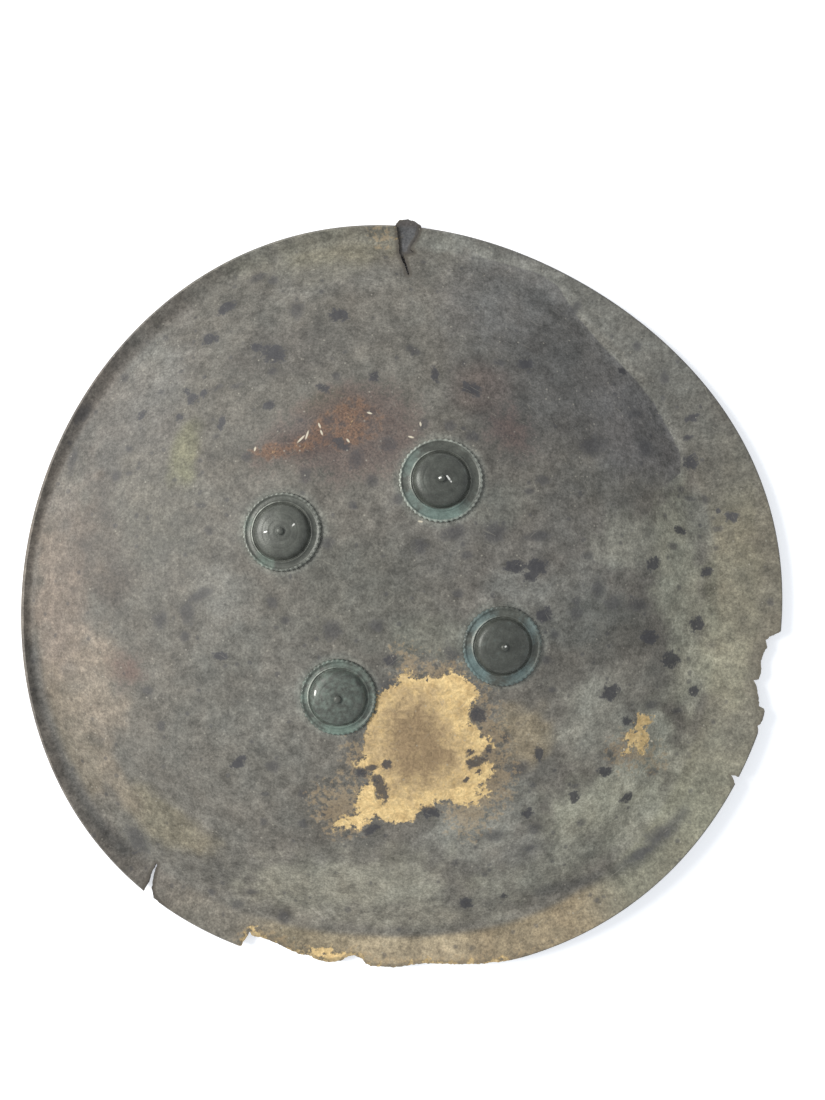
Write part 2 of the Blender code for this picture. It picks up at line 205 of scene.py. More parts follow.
def laid(across_px, down_px):
    """Where a point of the picture lies on the hide, from the middle of the outline."""
    px_per_metre = PICTURE_WIDE * LENS_MM / SENSOR_MM
    height = FIRST_GUESS
    for _ in range(6):
        depth = CAMERA_PLACE[2] - height
        x = CAMERA_PLACE[0] - OUTLINE_MIDDLE[0] + (across_px - PICTURE_WIDE / 2) * depth / px_per_metre
        y = CAMERA_PLACE[1] - OUTLINE_MIDDLE[1] - (down_px - PICTURE_HIGH / 2) * depth / px_per_metre
        height = float(face_height(x, y))
    return x, y


MM_PER_PX = 0.61
print(f"crown {1000 * face_height(0.0001, 0):.1f} mm above the ground")
print("a picture point between the bosses lies at", [round(1000 * v, 1) for v in laid(392, 590)], "mm")

# %% [markdown]
# ## A fine sheet of hide
#
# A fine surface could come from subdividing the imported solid, but that would keep its flat
# facets. Instead the sheet is built again from the same heights. A fan of spokes would crowd
# its points in the middle, so a square grid is drawn out into a disc: each ring of it holds
# eight points more than the last, and the squares stay about the same size all over. The
# underside is seen less, so its grid is four times coarser, and one strip joins the two.

# %% Draw a grid out into a disc
FACE_RINGS, FACE_DOME_RINGS = 140, 119
BACK_RINGS, BACK_DOME_RINGS = 35, 29
EDGE_ROUNDING = 0.0006
EDGE_ROWS = (0.12, 0.35, 0.65, 0.88)


def drawn_out_grid(rings):
    """The ring and bearing of each grid point, and the squares, turned face up."""
    side = np.arange(-rings, rings + 1, dtype=float)
    a, b = (grid.ravel() for grid in np.meshgrid(side, side))
    wide = np.abs(a) > np.abs(b)
    longest = np.where(wide, a, b)
    share = np.where(wide, b, a) / np.where(longest == 0, 1, longest)
    angle = np.where(wide, 45 * share, 90 - 45 * share)
    x, y = polar(longest, angle)
    count = 2 * rings + 1
    first = (np.arange(count - 1)[:, None] * count + np.arange(count - 1)).ravel()
    squares = np.stack([first, first + 1, first + count + 1, first + count], axis=1)
    return np.abs(longest), bearing_of(x, y), squares


def rim_loop(ring, bearing):
    outermost = np.flatnonzero(ring == ring.max())
    return outermost[np.argsort(bearing[outermost] % 360)]


def edge_radius(bearing):
    """The rim is cut square to the lip, so its upper edge stands in from the outline."""
    lean = RIM_THICKNESS * np.sin(np.arctan(lip_slope(bearing)))
    return outline_radius(bearing) - lean - EDGE_ROUNDING


# %% Make the sheet's points
def unevenness(points, size, seed):
    """Soft lumps of about a size, from -1 to 1."""
    place = Vector((seed * 7.3, seed * 3.1, seed * 1.7))
    return np.array([noise.noise(Vector(point) / size + place) for point in points])


def hide_thickness(x, y):
    bearing = bearing_of(x, y)
    share = np.hypot(x, y) / (outline_radius(bearing) - lip_width(bearing))
    thinned = smooth_step((share - THINNING_START) / (1 - THINNING_START))
    return CROWN_THICKNESS + (RIM_THICKNESS - CROWN_THICKNESS) * thinned


def ring_radius(ring, bearing, rings, dome_rings):
    rest = outline_radius(bearing) - lip_width(bearing)
    edge = edge_radius(bearing)
    on_lip = rest + (edge - rest) * (ring - dome_rings) / (rings - dome_rings)
    return np.where(ring <= dome_rings, rest * ring / dome_rings, on_lip)


def through(x, y, dip=0.0, less=0.0):
    """Points on the outer face or under it, and the points straight through the hide from them."""
    z = face_height(x, y) - dip
    across, along = slopes(face_height, x, y, 0.001)
    square = np.stack([-across, -along, np.ones_like(x)], axis=1)
    square /= np.linalg.norm(square, axis=1)[:, None]
    face = np.stack([x, y, z], axis=1)
    back = face - square * (hide_thickness(x, y) - less)[:, None]
    return face, back


face_ring, face_bearing, face_squares = drawn_out_grid(FACE_RINGS)
back_ring, back_bearing, back_squares = drawn_out_grid(BACK_RINGS)
face_radius = ring_radius(face_ring, face_bearing, FACE_RINGS, FACE_DOME_RINGS)
back_radius = ring_radius(back_ring, back_bearing, BACK_RINGS, BACK_DOME_RINGS)
face, through_face = through(*polar(face_radius, face_bearing))
_, back = through(*polar(back_radius, back_bearing))

face_rim, back_rim = rim_loop(face_ring, face_bearing), rim_loop(back_ring, back_bearing)
top_edge, under_edge = face[face_rim], through_face[face_rim]
outward = top_edge * (1, 1, 0)
outward /= np.linalg.norm(outward, axis=1)[:, None]
rows = []
for share in EDGE_ROWS:
    bulge = EDGE_ROUNDING * math.sin(math.pi * share) ** 0.5
    rows.append(top_edge + (under_edge - top_edge) * share + outward * bulge)

DENT_DEPTH, FLAT_RINGS, FLAT_AROUND_BOSS = 0.00035, 12, 0.006
dents = unevenness(face, 0.045, 1) + 0.5 * unevenness(face, 0.018, 2)
fade = smooth_step((FACE_RINGS - face_ring) / FLAT_RINGS)
near_boss = np.ones(len(face))
for name in BOSSES:
    near_boss *= smooth_step(beyond_flange(name, face[:, 0], face[:, 1]) / FLAT_AROUND_BOSS)
face[:, 2] += DENT_DEPTH * dents * fade * near_boss
print(f"{len(face)} points on the face, {len(back)} on the back, about 1.8 mm apart on the face")

# %% Join face, rim and back into one closed mesh
points = np.concatenate([face, *rows, under_edge, back])
points[:, 2] = np.maximum(points[:, 2], 0)
count = len(face_rim)
loops = [face_rim]
for row in range(len(rows) + 1):
    loops.append(len(face) + row * count + np.arange(count))
back_start = len(points) - len(back)
polygons = face_squares.tolist()
for upper, lower in zip(loops, loops[1:]):
    strip = np.stack([upper, lower, np.roll(lower, -1), np.roll(upper, -1)], axis=1)
    polygons += strip.tolist()
fine, coarse = loops[-1].tolist(), (back_rim + back_start).tolist()
STEP = len(fine) // len(coarse)
for i, start in enumerate(coarse):
    end = coarse[(i + 1) % len(coarse)]
    run = [fine[(STEP * i + j) % len(fine)] for j in range(STEP + 1)]
    polygons.append([run[0], start, end, *reversed(run[1:])])
polygons += (back_squares[:, ::-1] + back_start).tolist()


def mesh_object(name, vertices, faces):
    mesh = bpy.data.meshes.new(name)
    mesh.from_pydata(vertices.tolist() if isinstance(vertices, np.ndarray) else vertices, [], faces)
    mesh.update()
    made = bpy.data.objects.new(name, mesh)
    bpy.context.collection.objects.link(made)
    return made


hide = mesh_object("pressed_hide", points, polygons)
print(f"the sheet has {len(hide.data.polygons)} faces")

# %% [markdown]
# ## Breaks, the crack and the tear
#
# The dry lip has broken away at the right and along the bottom, cracked at the lower left and
# torn at the top. A break in hide is ragged on two scales: the bites that are named below, and
# a fine fraying that the script adds. Cutting with a Boolean gives each break its true wall of
# hide. The manifold solver is quick on a mesh as fine as this one, and both meshes are closed.

# %% What is lost from the rim, as bearing and depth inside the outline
LOSSES = {
    "right_lip": (
        (356.1, -0.0010), (355.9, 0.0004), (354.8, 0.0074), (354.3, 0.0093), (353.3, 0.0079),
        (352.3, 0.0094), (351.0, 0.0104), (349.1, 0.0089), (348.1, 0.0097), (347.8, 0.0122),
        (347.0, 0.0097), (345.4, 0.0069), (344.2, 0.0054), (344.0, 0.0023), (343.6, 0.0012),
        (342.4, 0.0007), (341.7, 0.0013), (341.3, 0.0026), (340.1, 0.0005), (338.6, -0.0010),
    ),
    "right_nick": ((333.3, -0.0010), (332.9, 0.0055), (331.6, -0.0010)),
    "bottom_lip": (
        (292.0, -0.0010), (290.0, 0.0004), (286.5, 0.0018), (283.0, 0.0031), (280.0, 0.0046),
        (277.0, 0.0060), (274.5, 0.0069), (269.7, 0.0050), (265.9, 0.0053), (265.1, 0.0063),
        (264.4, 0.0094), (263.1, 0.0107), (262.2, 0.0095), (261.2, 0.0067), (259.3, 0.0050),
        (257.7, 0.0051), (256.1, 0.0069), (254.5, 0.0064), (252.4, 0.0081), (250.2, 0.0095),
        (248.2, 0.0101), (246.6, 0.0092), (245.9, 0.0108), (245.8, 0.0059), (245.6, 0.0018),
        (245.0, -0.0010),
    ),
    "lower_left_crack": (
        (233.6, -0.0010), (232.6, 0.0008), (231.6, 0.0009), (230.5, 0.0018), (229.3, 0.0056),
        (228.3, 0.0114), (227.5, 0.0180), (227.3, 0.0180), (227.9, 0.0103), (228.4, 0.0069),
        (228.8, -0.0010),
    ),
    "top_tear": (
        (90.1, -0.0010), (90.0, 0.0010), (89.7, 0.0102), (89.5, 0.0187), (89.0, 0.0239),
        (88.4, 0.0283), (88.0, 0.0334), (87.8, 0.0330), (88.1, 0.0280), (88.6, 0.0230),
        (88.9, 0.0190), (87.2, 0.0169), (87.8, 0.0146), (87.4, 0.0109), (86.8, 0.0070),
        (86.2, -0.0010),
    ),
}
LAYER_OUTLINE = (
    (90.0, -0.0004), (89.4, -0.0022), (88.3, -0.0030), (87.2, -0.0020), (86.3, -0.0004),
    (86.0, 0.0040), (86.3, 0.0120), (86.5, 0.0200), (90.0, 0.0210), (90.4, 0.0120),
    (90.6, 0.0040),
)
OUTSIDE_REACH = 0.012
TORN_DEPTH, LAYER_STEP = 0.0018, 0.0002
FRAY_STEP, FRAY_DEPTH, FRAY_GRAIN = 0.0007, 0.00045, 0.0012
CUT_LOW, CUT_HIGH = -0.02, 0.08
HOLE_RADIUS, HOLE_SIDES = 0.0015, 16


# %% Fray the broken edges and cut them out
def in_plan(bearing, depth):
    return np.array(polar(outline_radius(bearing) - depth, bearing))


def frayed(line, seed):
    """The line with fine teeth, as torn fibre leaves them."""
    points = []
    for start, end in zip(line, line[1:]):
        steps = max(int(np.linalg.norm(end - start) / FRAY_STEP), 1)
        points += [start + (end - start) * i / steps for i in range(steps)]
    points.append(line[-1])
    for i in range(1, len(points) - 1):
        place = Vector((*points[i] / FRAY_GRAIN, seed))
        points[i] = points[i] + FRAY_DEPTH * np.array(noise.noise_vector(place)[:2])
    return points


def outward_faces(piece):
    block = bmesh.new()
    block.from_mesh(piece.data)
    bmesh.ops.recalc_face_normals(block, faces=block.faces)
    block.to_mesh(piece.data)
    block.free()
    return piece


def prism(name, outline):
    """A closed block from well below the hide to well above it, from an outline in plan."""
    count = len(outline)
    vertices = [(x, y, z) for z in (CUT_LOW, CUT_HIGH) for x, y in outline]
    walls = [(i, (i + 1) % count, (i + 1) % count + count, i + count) for i in range(count)]
    ends = [list(range(count)), list(range(count, 2 * count))]
    return outward_faces(mesh_object(name, vertices, [*ends, *walls]))


def carve(piece, tools, operation):
    """Applies one Boolean for each tool, and takes the tools away."""
    for tool in tools:
        cut = piece.modifiers.new(tool.name, "BOOLEAN")
        cut.object, cut.operation, cut.solver = tool, operation, "MANIFOLD"
    graph = bpy.context.evaluated_depsgraph_get()
    result = bpy.data.meshes.new_from_object(piece.evaluated_get(graph))
    piece.modifiers.clear()
    piece.data = result
    for tool in tools:
        bpy.data.objects.remove(tool)


broken_lines, cutters = {}, []
for seed, (name, edge) in enumerate(LOSSES.items()):
    broken_lines[name] = [in_plan(*point) for point in edge]
    first, last = edge[0][0], edge[-1][0]
    beyond = [in_plan(bearing, -OUTSIDE_REACH) for bearing in (last, (first + last) / 2, first)]
    cutters.append(prism("cut_" + name, frayed(broken_lines[name], seed) + beyond))
for name in BOSSES:
    boss_x, boss_y = boss_place(name)
    turns = np.linspace(0, math.tau, HOLE_SIDES + 1)[:-1]
    around = [(boss_x + HOLE_RADIUS * math.cos(a), boss_y + HOLE_RADIUS * math.sin(a)) for a in turns]
    cutters.append(prism("hole_" + name, around))
carve(hide, cutters, "DIFFERENCE")
print(f"after the cuts the sheet has {len(hide.data.polygons)} faces")

# %% Lay the torn layer in the tear
cells = 28
bearings = np.linspace(85.6, 91.0, cells)
depths = np.linspace(-0.0045, 0.0225, cells)
layer_x, layer_y = polar(outline_radius(bearings)[None, :] - depths[:, None], bearings[None, :])
layer_x, layer_y = layer_x.ravel(), layer_y.ravel()
layer_face, layer_back = through(layer_x, layer_y, TORN_DEPTH, TORN_DEPTH + LAYER_STEP)
LAYER_ROUGHNESS = 0.0003
layer_face[:, 2] += LAYER_ROUGHNESS * unevenness(layer_face, 0.003, 5)
layer_back[:, 2] = np.maximum(layer_back[:, 2], 0)
corner = (np.arange(cells - 1)[:, None] * cells + np.arange(cells - 1)).ravel()
cell_faces = np.stack([corner, corner + 1, corner + cells + 1, corner + cells], axis=1)
border = [*range(cells), *range(2 * cells - 1, cells * cells, cells)]
border += [*range(cells * cells - 2, cells * (cells - 1) - 1, -1), *range(cells * (cells - 2), 0, -cells)]
total = cells * cells
side_faces = [[a, b, b + total, a + total] for a, b in zip(border, border[1:] + border[:1])]
layer_faces = cell_faces.tolist() + (cell_faces[:, ::-1] + total).tolist() + side_faces
layer = outward_faces(mesh_object("torn_layer", np.concatenate([layer_face, layer_back]), layer_faces))
layer_line = [in_plan(*point) for point in LAYER_OUTLINE]
bounds = prism("layer_bounds", frayed([*layer_line, layer_line[0]], 9)[:-1])
carve(layer, [bounds], "INTERSECT")
carve(hide, [layer], "UNION")
hide.data.transform(Matrix.Translation((*OUTLINE_MIDDLE, 0)))
low = [min(v.co[i] for v in hide.data.vertices) for i in range(3)]
high = [max(v.co[i] for v in hide.data.vertices) for i in range(3)]
print("fine hide:", [round(1000 * v, 1) for v in low], [round(1000 * v, 1) for v in high])

# %% [markdown]
# ## Where the hide has its marks
#
# A mark could be an image, but then it couldn't be changed by a number. Here each mark is a
# named place on the hide, measured on the picture and laid on the surface. The script turns
# the marks into soft fields on the mesh's points, which are 1 in the middle of a mark, a half
# at its edge and 0 outside. The material later cuts each field at a half with fine noise, and
# that gives the crisp, ragged edges that a mesh can't hold.

# %% Stains: across and down in the picture, length, width and tilt
DARK_STAINS = (
    (226, 308, 20, 12, 30), (210, 339, 18, 12, 15), (274, 353, 24, 17, -15), (257, 347, 12, 8, -20),
    (193, 399, 14, 11, -40), (204, 393, 12, 6, 30), (186, 391, 11, 6, -20), (179, 417, 9, 9, 0),
    (142, 415, 13, 7, 40), (269, 405, 13, 9, 10), (221, 424, 7, 16, -20), (338, 315, 19, 15, 0),
    (374, 376, 10, 12, 0), (341, 444, 21, 10, -30), (324, 388, 15, 8, -30), (238, 763, 18, 9, 35),
    (220, 656, 15, 9, 0), (471, 389, 20, 12, -20), (435, 374, 8, 14, 10), (525, 364, 13, 12, 0),
    (622, 371, 10, 7, -30), (691, 462, 14, 17, -15), (692, 418, 14, 8, 15), (688, 438, 10, 6, 0),
    (732, 517, 12, 11, 0), (718, 511, 5, 6, 0), (515, 566, 22, 12, 5), (537, 567, 19, 16, 0),
    (530, 577, 14, 9, 10), (543, 615, 17, 14, 20), (697, 625, 15, 16, 0), (649, 637, 19, 14, -10),
    (671, 660, 20, 16, 10), (610, 692, 20, 16, 0), (694, 691, 12, 11, 20), (627, 721, 10, 12, 30),
    (478, 714, 16, 16, 0), (476, 762, 20, 11, 15), (539, 754, 11, 13, 30), (605, 772, 17, 9, 5),
    (574, 797, 12, 12, 0), (627, 797, 14, 9, 35), (527, 813, 14, 10, 20), (430, 812, 21, 12, -20),
    (466, 903, 14, 12, 0), (504, 896, 10, 6, 10), (653, 564, 16, 13, 20), (706, 572, 13, 10, 20),
    (679, 530, 14, 8, -10), (361, 772, 14, 11, 0), (391, 660, 15, 11, -10), (372, 829, 20, 9, 30),
    (381, 789, 12, 30, 12), (386, 764, 12, 9, 20), (372, 768, 10, 8, 0), (466, 780, 9, 4, 40),
    (479, 772, 7, 5, 0), (470, 752, 9, 6, 0), (489, 748, 7, 7, 0), (375, 779, 6, 5, 0),
)
SOFT_STAINS = (
    (257, 278, 17, 9, 30), (273, 280, 10, 10, 0), (297, 309, 15, 18, 0), (272, 371, 11, 9, 0),
    (236, 386, 16, 6, 0), (217, 388, 14, 5, 20), (166, 338, 11, 5, -40), (161, 392, 8, 5, 0),
    (125, 378, 10, 8, 30), (216, 437, 8, 5, 40), (336, 376, 7, 10, 20), (371, 412, 15, 9, 0),
    (327, 421, 8, 8, 0), (356, 459, 14, 19, -20), (389, 444, 15, 15, 0), (305, 475, 12, 16, 0),
    (372, 481, 12, 12, 0), (117, 476, 10, 12, 0), (129, 473, 8, 6, 0), (130, 449, 7, 7, 0),
    (72, 462, 10, 26, -10), (83, 414, 11, 22, -35), (209, 530, 9, 8, 0), (201, 505, 10, 6, 0),
    (200, 595, 28, 9, 25), (272, 602, 11, 12, 0), (187, 613, 14, 22, 10), (185, 636, 8, 10, 0),
    (160, 620, 14, 18, 0), (332, 630, 17, 19, 0), (376, 626, 14, 12, 0), (386, 688, 14, 20, -20),
    (147, 691, 11, 10, 0), (161, 726, 9, 10, 0), (273, 766, 14, 10, 0), (303, 794, 9, 9, 0),
    (265, 794, 9, 5, 0), (264, 822, 8, 8, 0), (303, 824, 10, 8, 0), (326, 813, 13, 12, 0),
    (212, 892, 10, 7, 0), (252, 892, 13, 7, 0), (236, 904, 14, 10, 0), (284, 918, 12, 15, 0),
    (348, 910, 7, 7, 0), (499, 362, 10, 7, 0), (413, 350, 15, 7, -30), (450, 425, 12, 10, 0),
    (472, 436, 12, 10, 0), (423, 425, 8, 13, -20), (576, 307, 11, 13, -40), (637, 346, 8, 9, 0),
    (665, 378, 8, 13, 10), (636, 414, 15, 9, 0), (645, 449, 13, 18, 0), (593, 446, 26, 20, 20),
    (681, 489, 8, 8, 0), (689, 498, 14, 5, -15), (705, 499, 7, 10, 30), (718, 529, 11, 6, 10),
    (673, 546, 13, 7, 0), (588, 556, 12, 8, 0), (458, 594, 11, 9, 0), (543, 480, 14, 9, 0),
    (529, 491, 9, 6, 0), (494, 532, 21, 20, 0), (454, 533, 24, 13, 10), (537, 536, 26, 9, 5),
    (420, 546, 14, 14, 0), (467, 555, 11, 8, 0), (598, 589, 11, 18, 0), (613, 603, 17, 16, 0),
    (637, 604, 21, 12, 0), (679, 587, 6, 6, 0), (770, 602, 7, 8, 0), (576, 613, 13, 13, 0),
    (652, 705, 14, 9, 0), (677, 711, 9, 6, 0), (546, 660, 10, 9, 0), (555, 635, 9, 8, 0),
    (462, 778, 7, 7, 0), (473, 781, 13, 5, 0), (506, 738, 9, 11, 0), (518, 768, 22, 14, 0),
    (653, 772, 12, 8, 0), (574, 786, 9, 5, 0), (533, 785, 7, 6, 0), (534, 829, 14, 10, 0),
    (581, 822, 11, 9, 0), (494, 835, 22, 11, 0), (529, 848, 13, 8, 0), (455, 863, 7, 7, 0),
    (485, 874, 6, 6, 0), (657, 834, 34, 13, 25), (640, 853, 30, 9, 28), (597, 900, 7, 6, 0),
    (472, 948, 6, 5, 0), (456, 947, 6, 4, 0), (137, 838, 36, 20, -55), (576, 600, 9, 9, 0),
    (326, 543, 16, 12, 0), (383, 792, 13, 22, 10), (386, 765, 8, 12, 0), (455, 655, 12, 10, 0),
    (450, 655, 9, 22, 20), (716, 548, 6, 5, 0), (553, 690, 8, 6, 0), (399, 498, 16, 9, 30),
    (352, 505, 9, 7, 0), (300, 420, 7, 5, 0), (248, 457, 12, 9, 0), (285, 620, 9, 7, 0),
)
print(f"{len(DARK_STAINS)} dark stains and {len(SOFT_STAINS)} soft ones")

# %% Worn places, as outlines in the picture
FLAKED = {
    "middle": (
        (401, 677), (411, 674), (432, 677), (451, 673), (470, 680), (477, 693), (472, 709), (471, 725),
        (480, 733), (490, 740), (493, 747), (478, 752), (484, 762), (495, 769), (490, 781), (478, 787),
        (490, 793), (480, 799), (459, 808), (452, 801), (438, 803), (426, 808), (418, 818), (404, 822),
        (391, 823), (383, 816), (372, 820), (357, 827), (335, 828), (337, 819), (353, 817), (357, 806),
        (358, 791), (369, 784), (376, 778), (368, 772), (357, 768), (354, 759), (363, 753), (368, 740),
        (366, 725), (372, 709), (379, 696), (391, 687),
    ),
    "right": (
        (638, 716), (646, 713), (649, 722), (643, 729), (651, 735), (652, 744), (644, 740), (642, 746),
        (647, 753), (640, 755), (636, 747), (630, 752), (623, 753), (628, 744), (625, 738), (633, 736),
    ),
    "bottom_notch": ((250, 928), (256, 928), (259, 936), (252, 937)),
    "bottom_edge": (
        (296, 948), (316, 951), (336, 950), (345, 953), (344, 962), (330, 962), (312, 957), (298, 954),
    ),
    "tear_edge": ((389, 221), (396, 222), (397, 238), (394, 232), (392, 226)),
}
FLECKED = {
    "tear_side": ((376, 222), (385, 221), (388, 236), (382, 240)),
    "above": ((398, 652), (411, 655), (424, 663), (441, 666), (455, 668), (452, 682), (402, 686)),
    "left_tail": ((316, 798), (336, 785), (358, 784), (362, 826), (334, 830), (320, 815)),
    "right": (
        (474, 690), (486, 693), (492, 712), (500, 735), (508, 765), (508, 792), (492, 812), (470, 832),
        (455, 826), (450, 800), (470, 780), (474, 740),
    ),
    "left_side": ((352, 745), (368, 738), (372, 778), (350, 775)),
    "right_tail": ((614, 748), (626, 738), (640, 744), (654, 750), (658, 762), (640, 764), (620, 764)),
}
BROWNED = {
    "middle": (
        (374, 716), (384, 700), (398, 688), (424, 686), (442, 696), (450, 718), (464, 738), (470, 754),
        (462, 776), (440, 792), (412, 796), (390, 792), (376, 770), (366, 752), (368, 732),
    ),
}
RUBBED = {
    "above_left": (
        (252, 449), (258, 466), (296, 458), (312, 470), (334, 482), (366, 474), (390, 470), (417, 444),
        (414, 404), (386, 386), (348, 384), (322, 398), (296, 414), (273, 432),
    ),
    "above_right": ((488, 418), (512, 412), (528, 432), (524, 450), (504, 448), (492, 434)),
    "right_foot": ((620, 744), (630, 742), (634, 760), (622, 762)),
    "left_spot": ((116, 664), (134, 660), (138, 678), (122, 684)),
}
RUB_CORES = (
    (345, 429, 52, 26, 14), (334, 420, 34, 14, 20), (356, 414, 30, 22, 0), (268, 452, 30, 10, 4),
    (298, 446, 26, 12, 10), (640, 742, 20, 10, 10),
)
# Short pale marks, from one picture point to another: some are nicks in the skin, some are painted glints.
NICKS_AND_GLINTS = (
    (407, 436, 415, 438), (420, 421, 421, 427), (417, 521, 424, 522), (296, 444, 306, 434),
    (305, 441, 309, 429), (318, 422, 321, 429), (320, 429, 323, 436), (366, 412, 373, 414),
    (254, 452, 256, 446), (346, 438, 350, 443), (650, 740, 653, 742), (623, 748, 625, 751),
    (772, 484, 777, 486),
)
NICK_AND_GLINT_WIDTH = 0.0008


# %% Turn the marks into fields on the hide's points
FACE_DEPTH, SPOT_REACH = 0.0022, 0.04
coords = np.array([v.co for v in hide.data.vertices]) - (*OUTLINE_MIDDLE, 0)
outer_face = coords[:, 2] > face_height(coords[:, 0], coords[:, 1]) - FACE_DEPTH


def along_and_square(points, x, y, tilt):
    """Where points lie from a place, along a tilted line and square to it."""
    tilt = math.radians(tilt)
    across, up = points[:, 0] - x, points[:, 1] - y
    return across * math.cos(tilt) + up * math.sin(tilt), up * math.cos(tilt) - across * math.sin(tilt)


def spot_field(spots):
    """1 in the middle of a spot, a half at its edge and 0 outside all of them."""
    field = np.zeros(len(coords))
    for across_px, down_px, length, width, tilt in spots:
        x, y = laid(across_px, down_px)
        near = np.flatnonzero(np.hypot(coords[:, 0] - x, coords[:, 1] - y) < SPOT_REACH)
        u, v = along_and_square(coords[near], x, y, tilt)
        to_edge = np.hypot(u * 2000 / (length * MM_PER_PX), v * 2000 / (width * MM_PER_PX))
        field[near] = np.maximum(field[near], 1 - 0.5 * to_edge)
    return np.clip(field, 0, 1)


def edge_distance(line):
    """How far each point of the hide is in plan from a line of points."""
    nearest = np.full(len(coords), 1.0)
    for start, end in zip(line, line[1:]):
        along = np.subtract(end, start)
        length = max(float(along @ along), 1e-12)
        from_start = coords[:, :2] - start
        share = np.clip(from_start @ along / length, 0, 1)
        away = from_start - share[:, None] * along
        nearest = np.minimum(nearest, np.hypot(away[:, 0], away[:, 1]))
    return nearest


def inside(outline):
    """Whether each point of the hide is inside an outline in plan."""
    crossed = np.zeros(len(coords), dtype=bool)
    for (x0, y0), (x1, y1) in zip(outline, outline[1:] + outline[:1]):
        spans = (y0 > coords[:, 1]) != (y1 > coords[:, 1])
        meets = x0 + (coords[:, 1] - y0) * (x1 - x0) / (y1 - y0 if y1 != y0 else 1e-9)
        crossed ^= spans & (coords[:, 0] < meets)
    return crossed


def area_field(outlines, softness):
    """A half on each outline, rising to 1 inside it and falling to 0 outside it."""
    field = np.zeros(len(coords))
    for outline in outlines:
        line = [laid(*point) for point in outline]
        away = edge_distance(line + line[:1]) / softness
        field = np.maximum(field, 0.5 + 0.5 * np.where(inside(line), away, -away))
    return np.clip(field, 0, 1)


fields = {"dark": spot_field(DARK_STAINS), "soft": spot_field(SOFT_STAINS), "rub_core": spot_field(RUB_CORES)}
SOFTNESS = {"flaked": 0.012, "flecked": 0.012, "browned": 0.018, "rubbed": 0.016, "crease": 0.006}
for name, areas in (("flaked", FLAKED), ("flecked", FLECKED), ("browned", BROWNED), ("rubbed", RUBBED)):
    fields[name] = area_field(areas.values(), SOFTNESS[name])
at_bottom_break = edge_distance([in_plan(*point) for point in LOSSES["bottom_lip"]])
for name, at_edge, fade in (("flaked", 0.53, 0.02), ("flecked", 0.7, 0.012)):
    fields[name] = np.maximum(fields[name], at_edge - at_bottom_break / fade)
from_break = {name: edge_distance(line) for name, line in broken_lines.items()}
broken = np.minimum.reduce(list(from_break.values()))
crack = np.minimum(from_break["top_tear"], from_break["lower_left_crack"])
EDGE_BAND, RIM_BAND = 0.004, 0.005
fields["broken"] = 1 - np.clip(broken / EDGE_BAND, 0, 1)
fields["crack"] = 1 - np.clip(crack / EDGE_BAND, 0, 1)
fields["outer"] = outer_face.astype(float)
for name in ("flaked", "dark"):
    print(f"{(fields[name] > 0.5).sum()} points of the sheet are {name}")

# %% [markdown]
# ## Tones of the old surface, with painted light and shade
#
# The face isn't one grey. It has broad tones: beige at the left, olive at the right and bare
# tan along the bottom lip. Some of the tones are painted light and shade: a dark zone of
# painted shade at the upper right, on the dome's slope that faces away from the lamp, which
# stops at the crease; a painted lit band on the lip just outside that crease; painted light on
# the right side of the dome and its trough, which turn away from the lamp; and painted shade
# in the trough at the bottom right and the lower left, and on the lip at the lower left. They
# are painted on the points as soft ellipses, one over the other, the way a restorer would
# describe them on a condition drawing.

# %% Colours
DAYLIGHT = 1.32


def linear(channel):
    return channel / 12.92 if channel <= 0.04045 else ((channel + 0.055) / 1.055) ** 2.4


def colour(sRGB_hex):
    """A surface's own colour, linear. The studio light is a little brighter than plain white."""
    channels = [int(sRGB_hex[i : i + 2], 16) / 255 for i in (1, 3, 5)]
    return (*(linear(channel) / DAYLIGHT for channel in channels), 1.0)


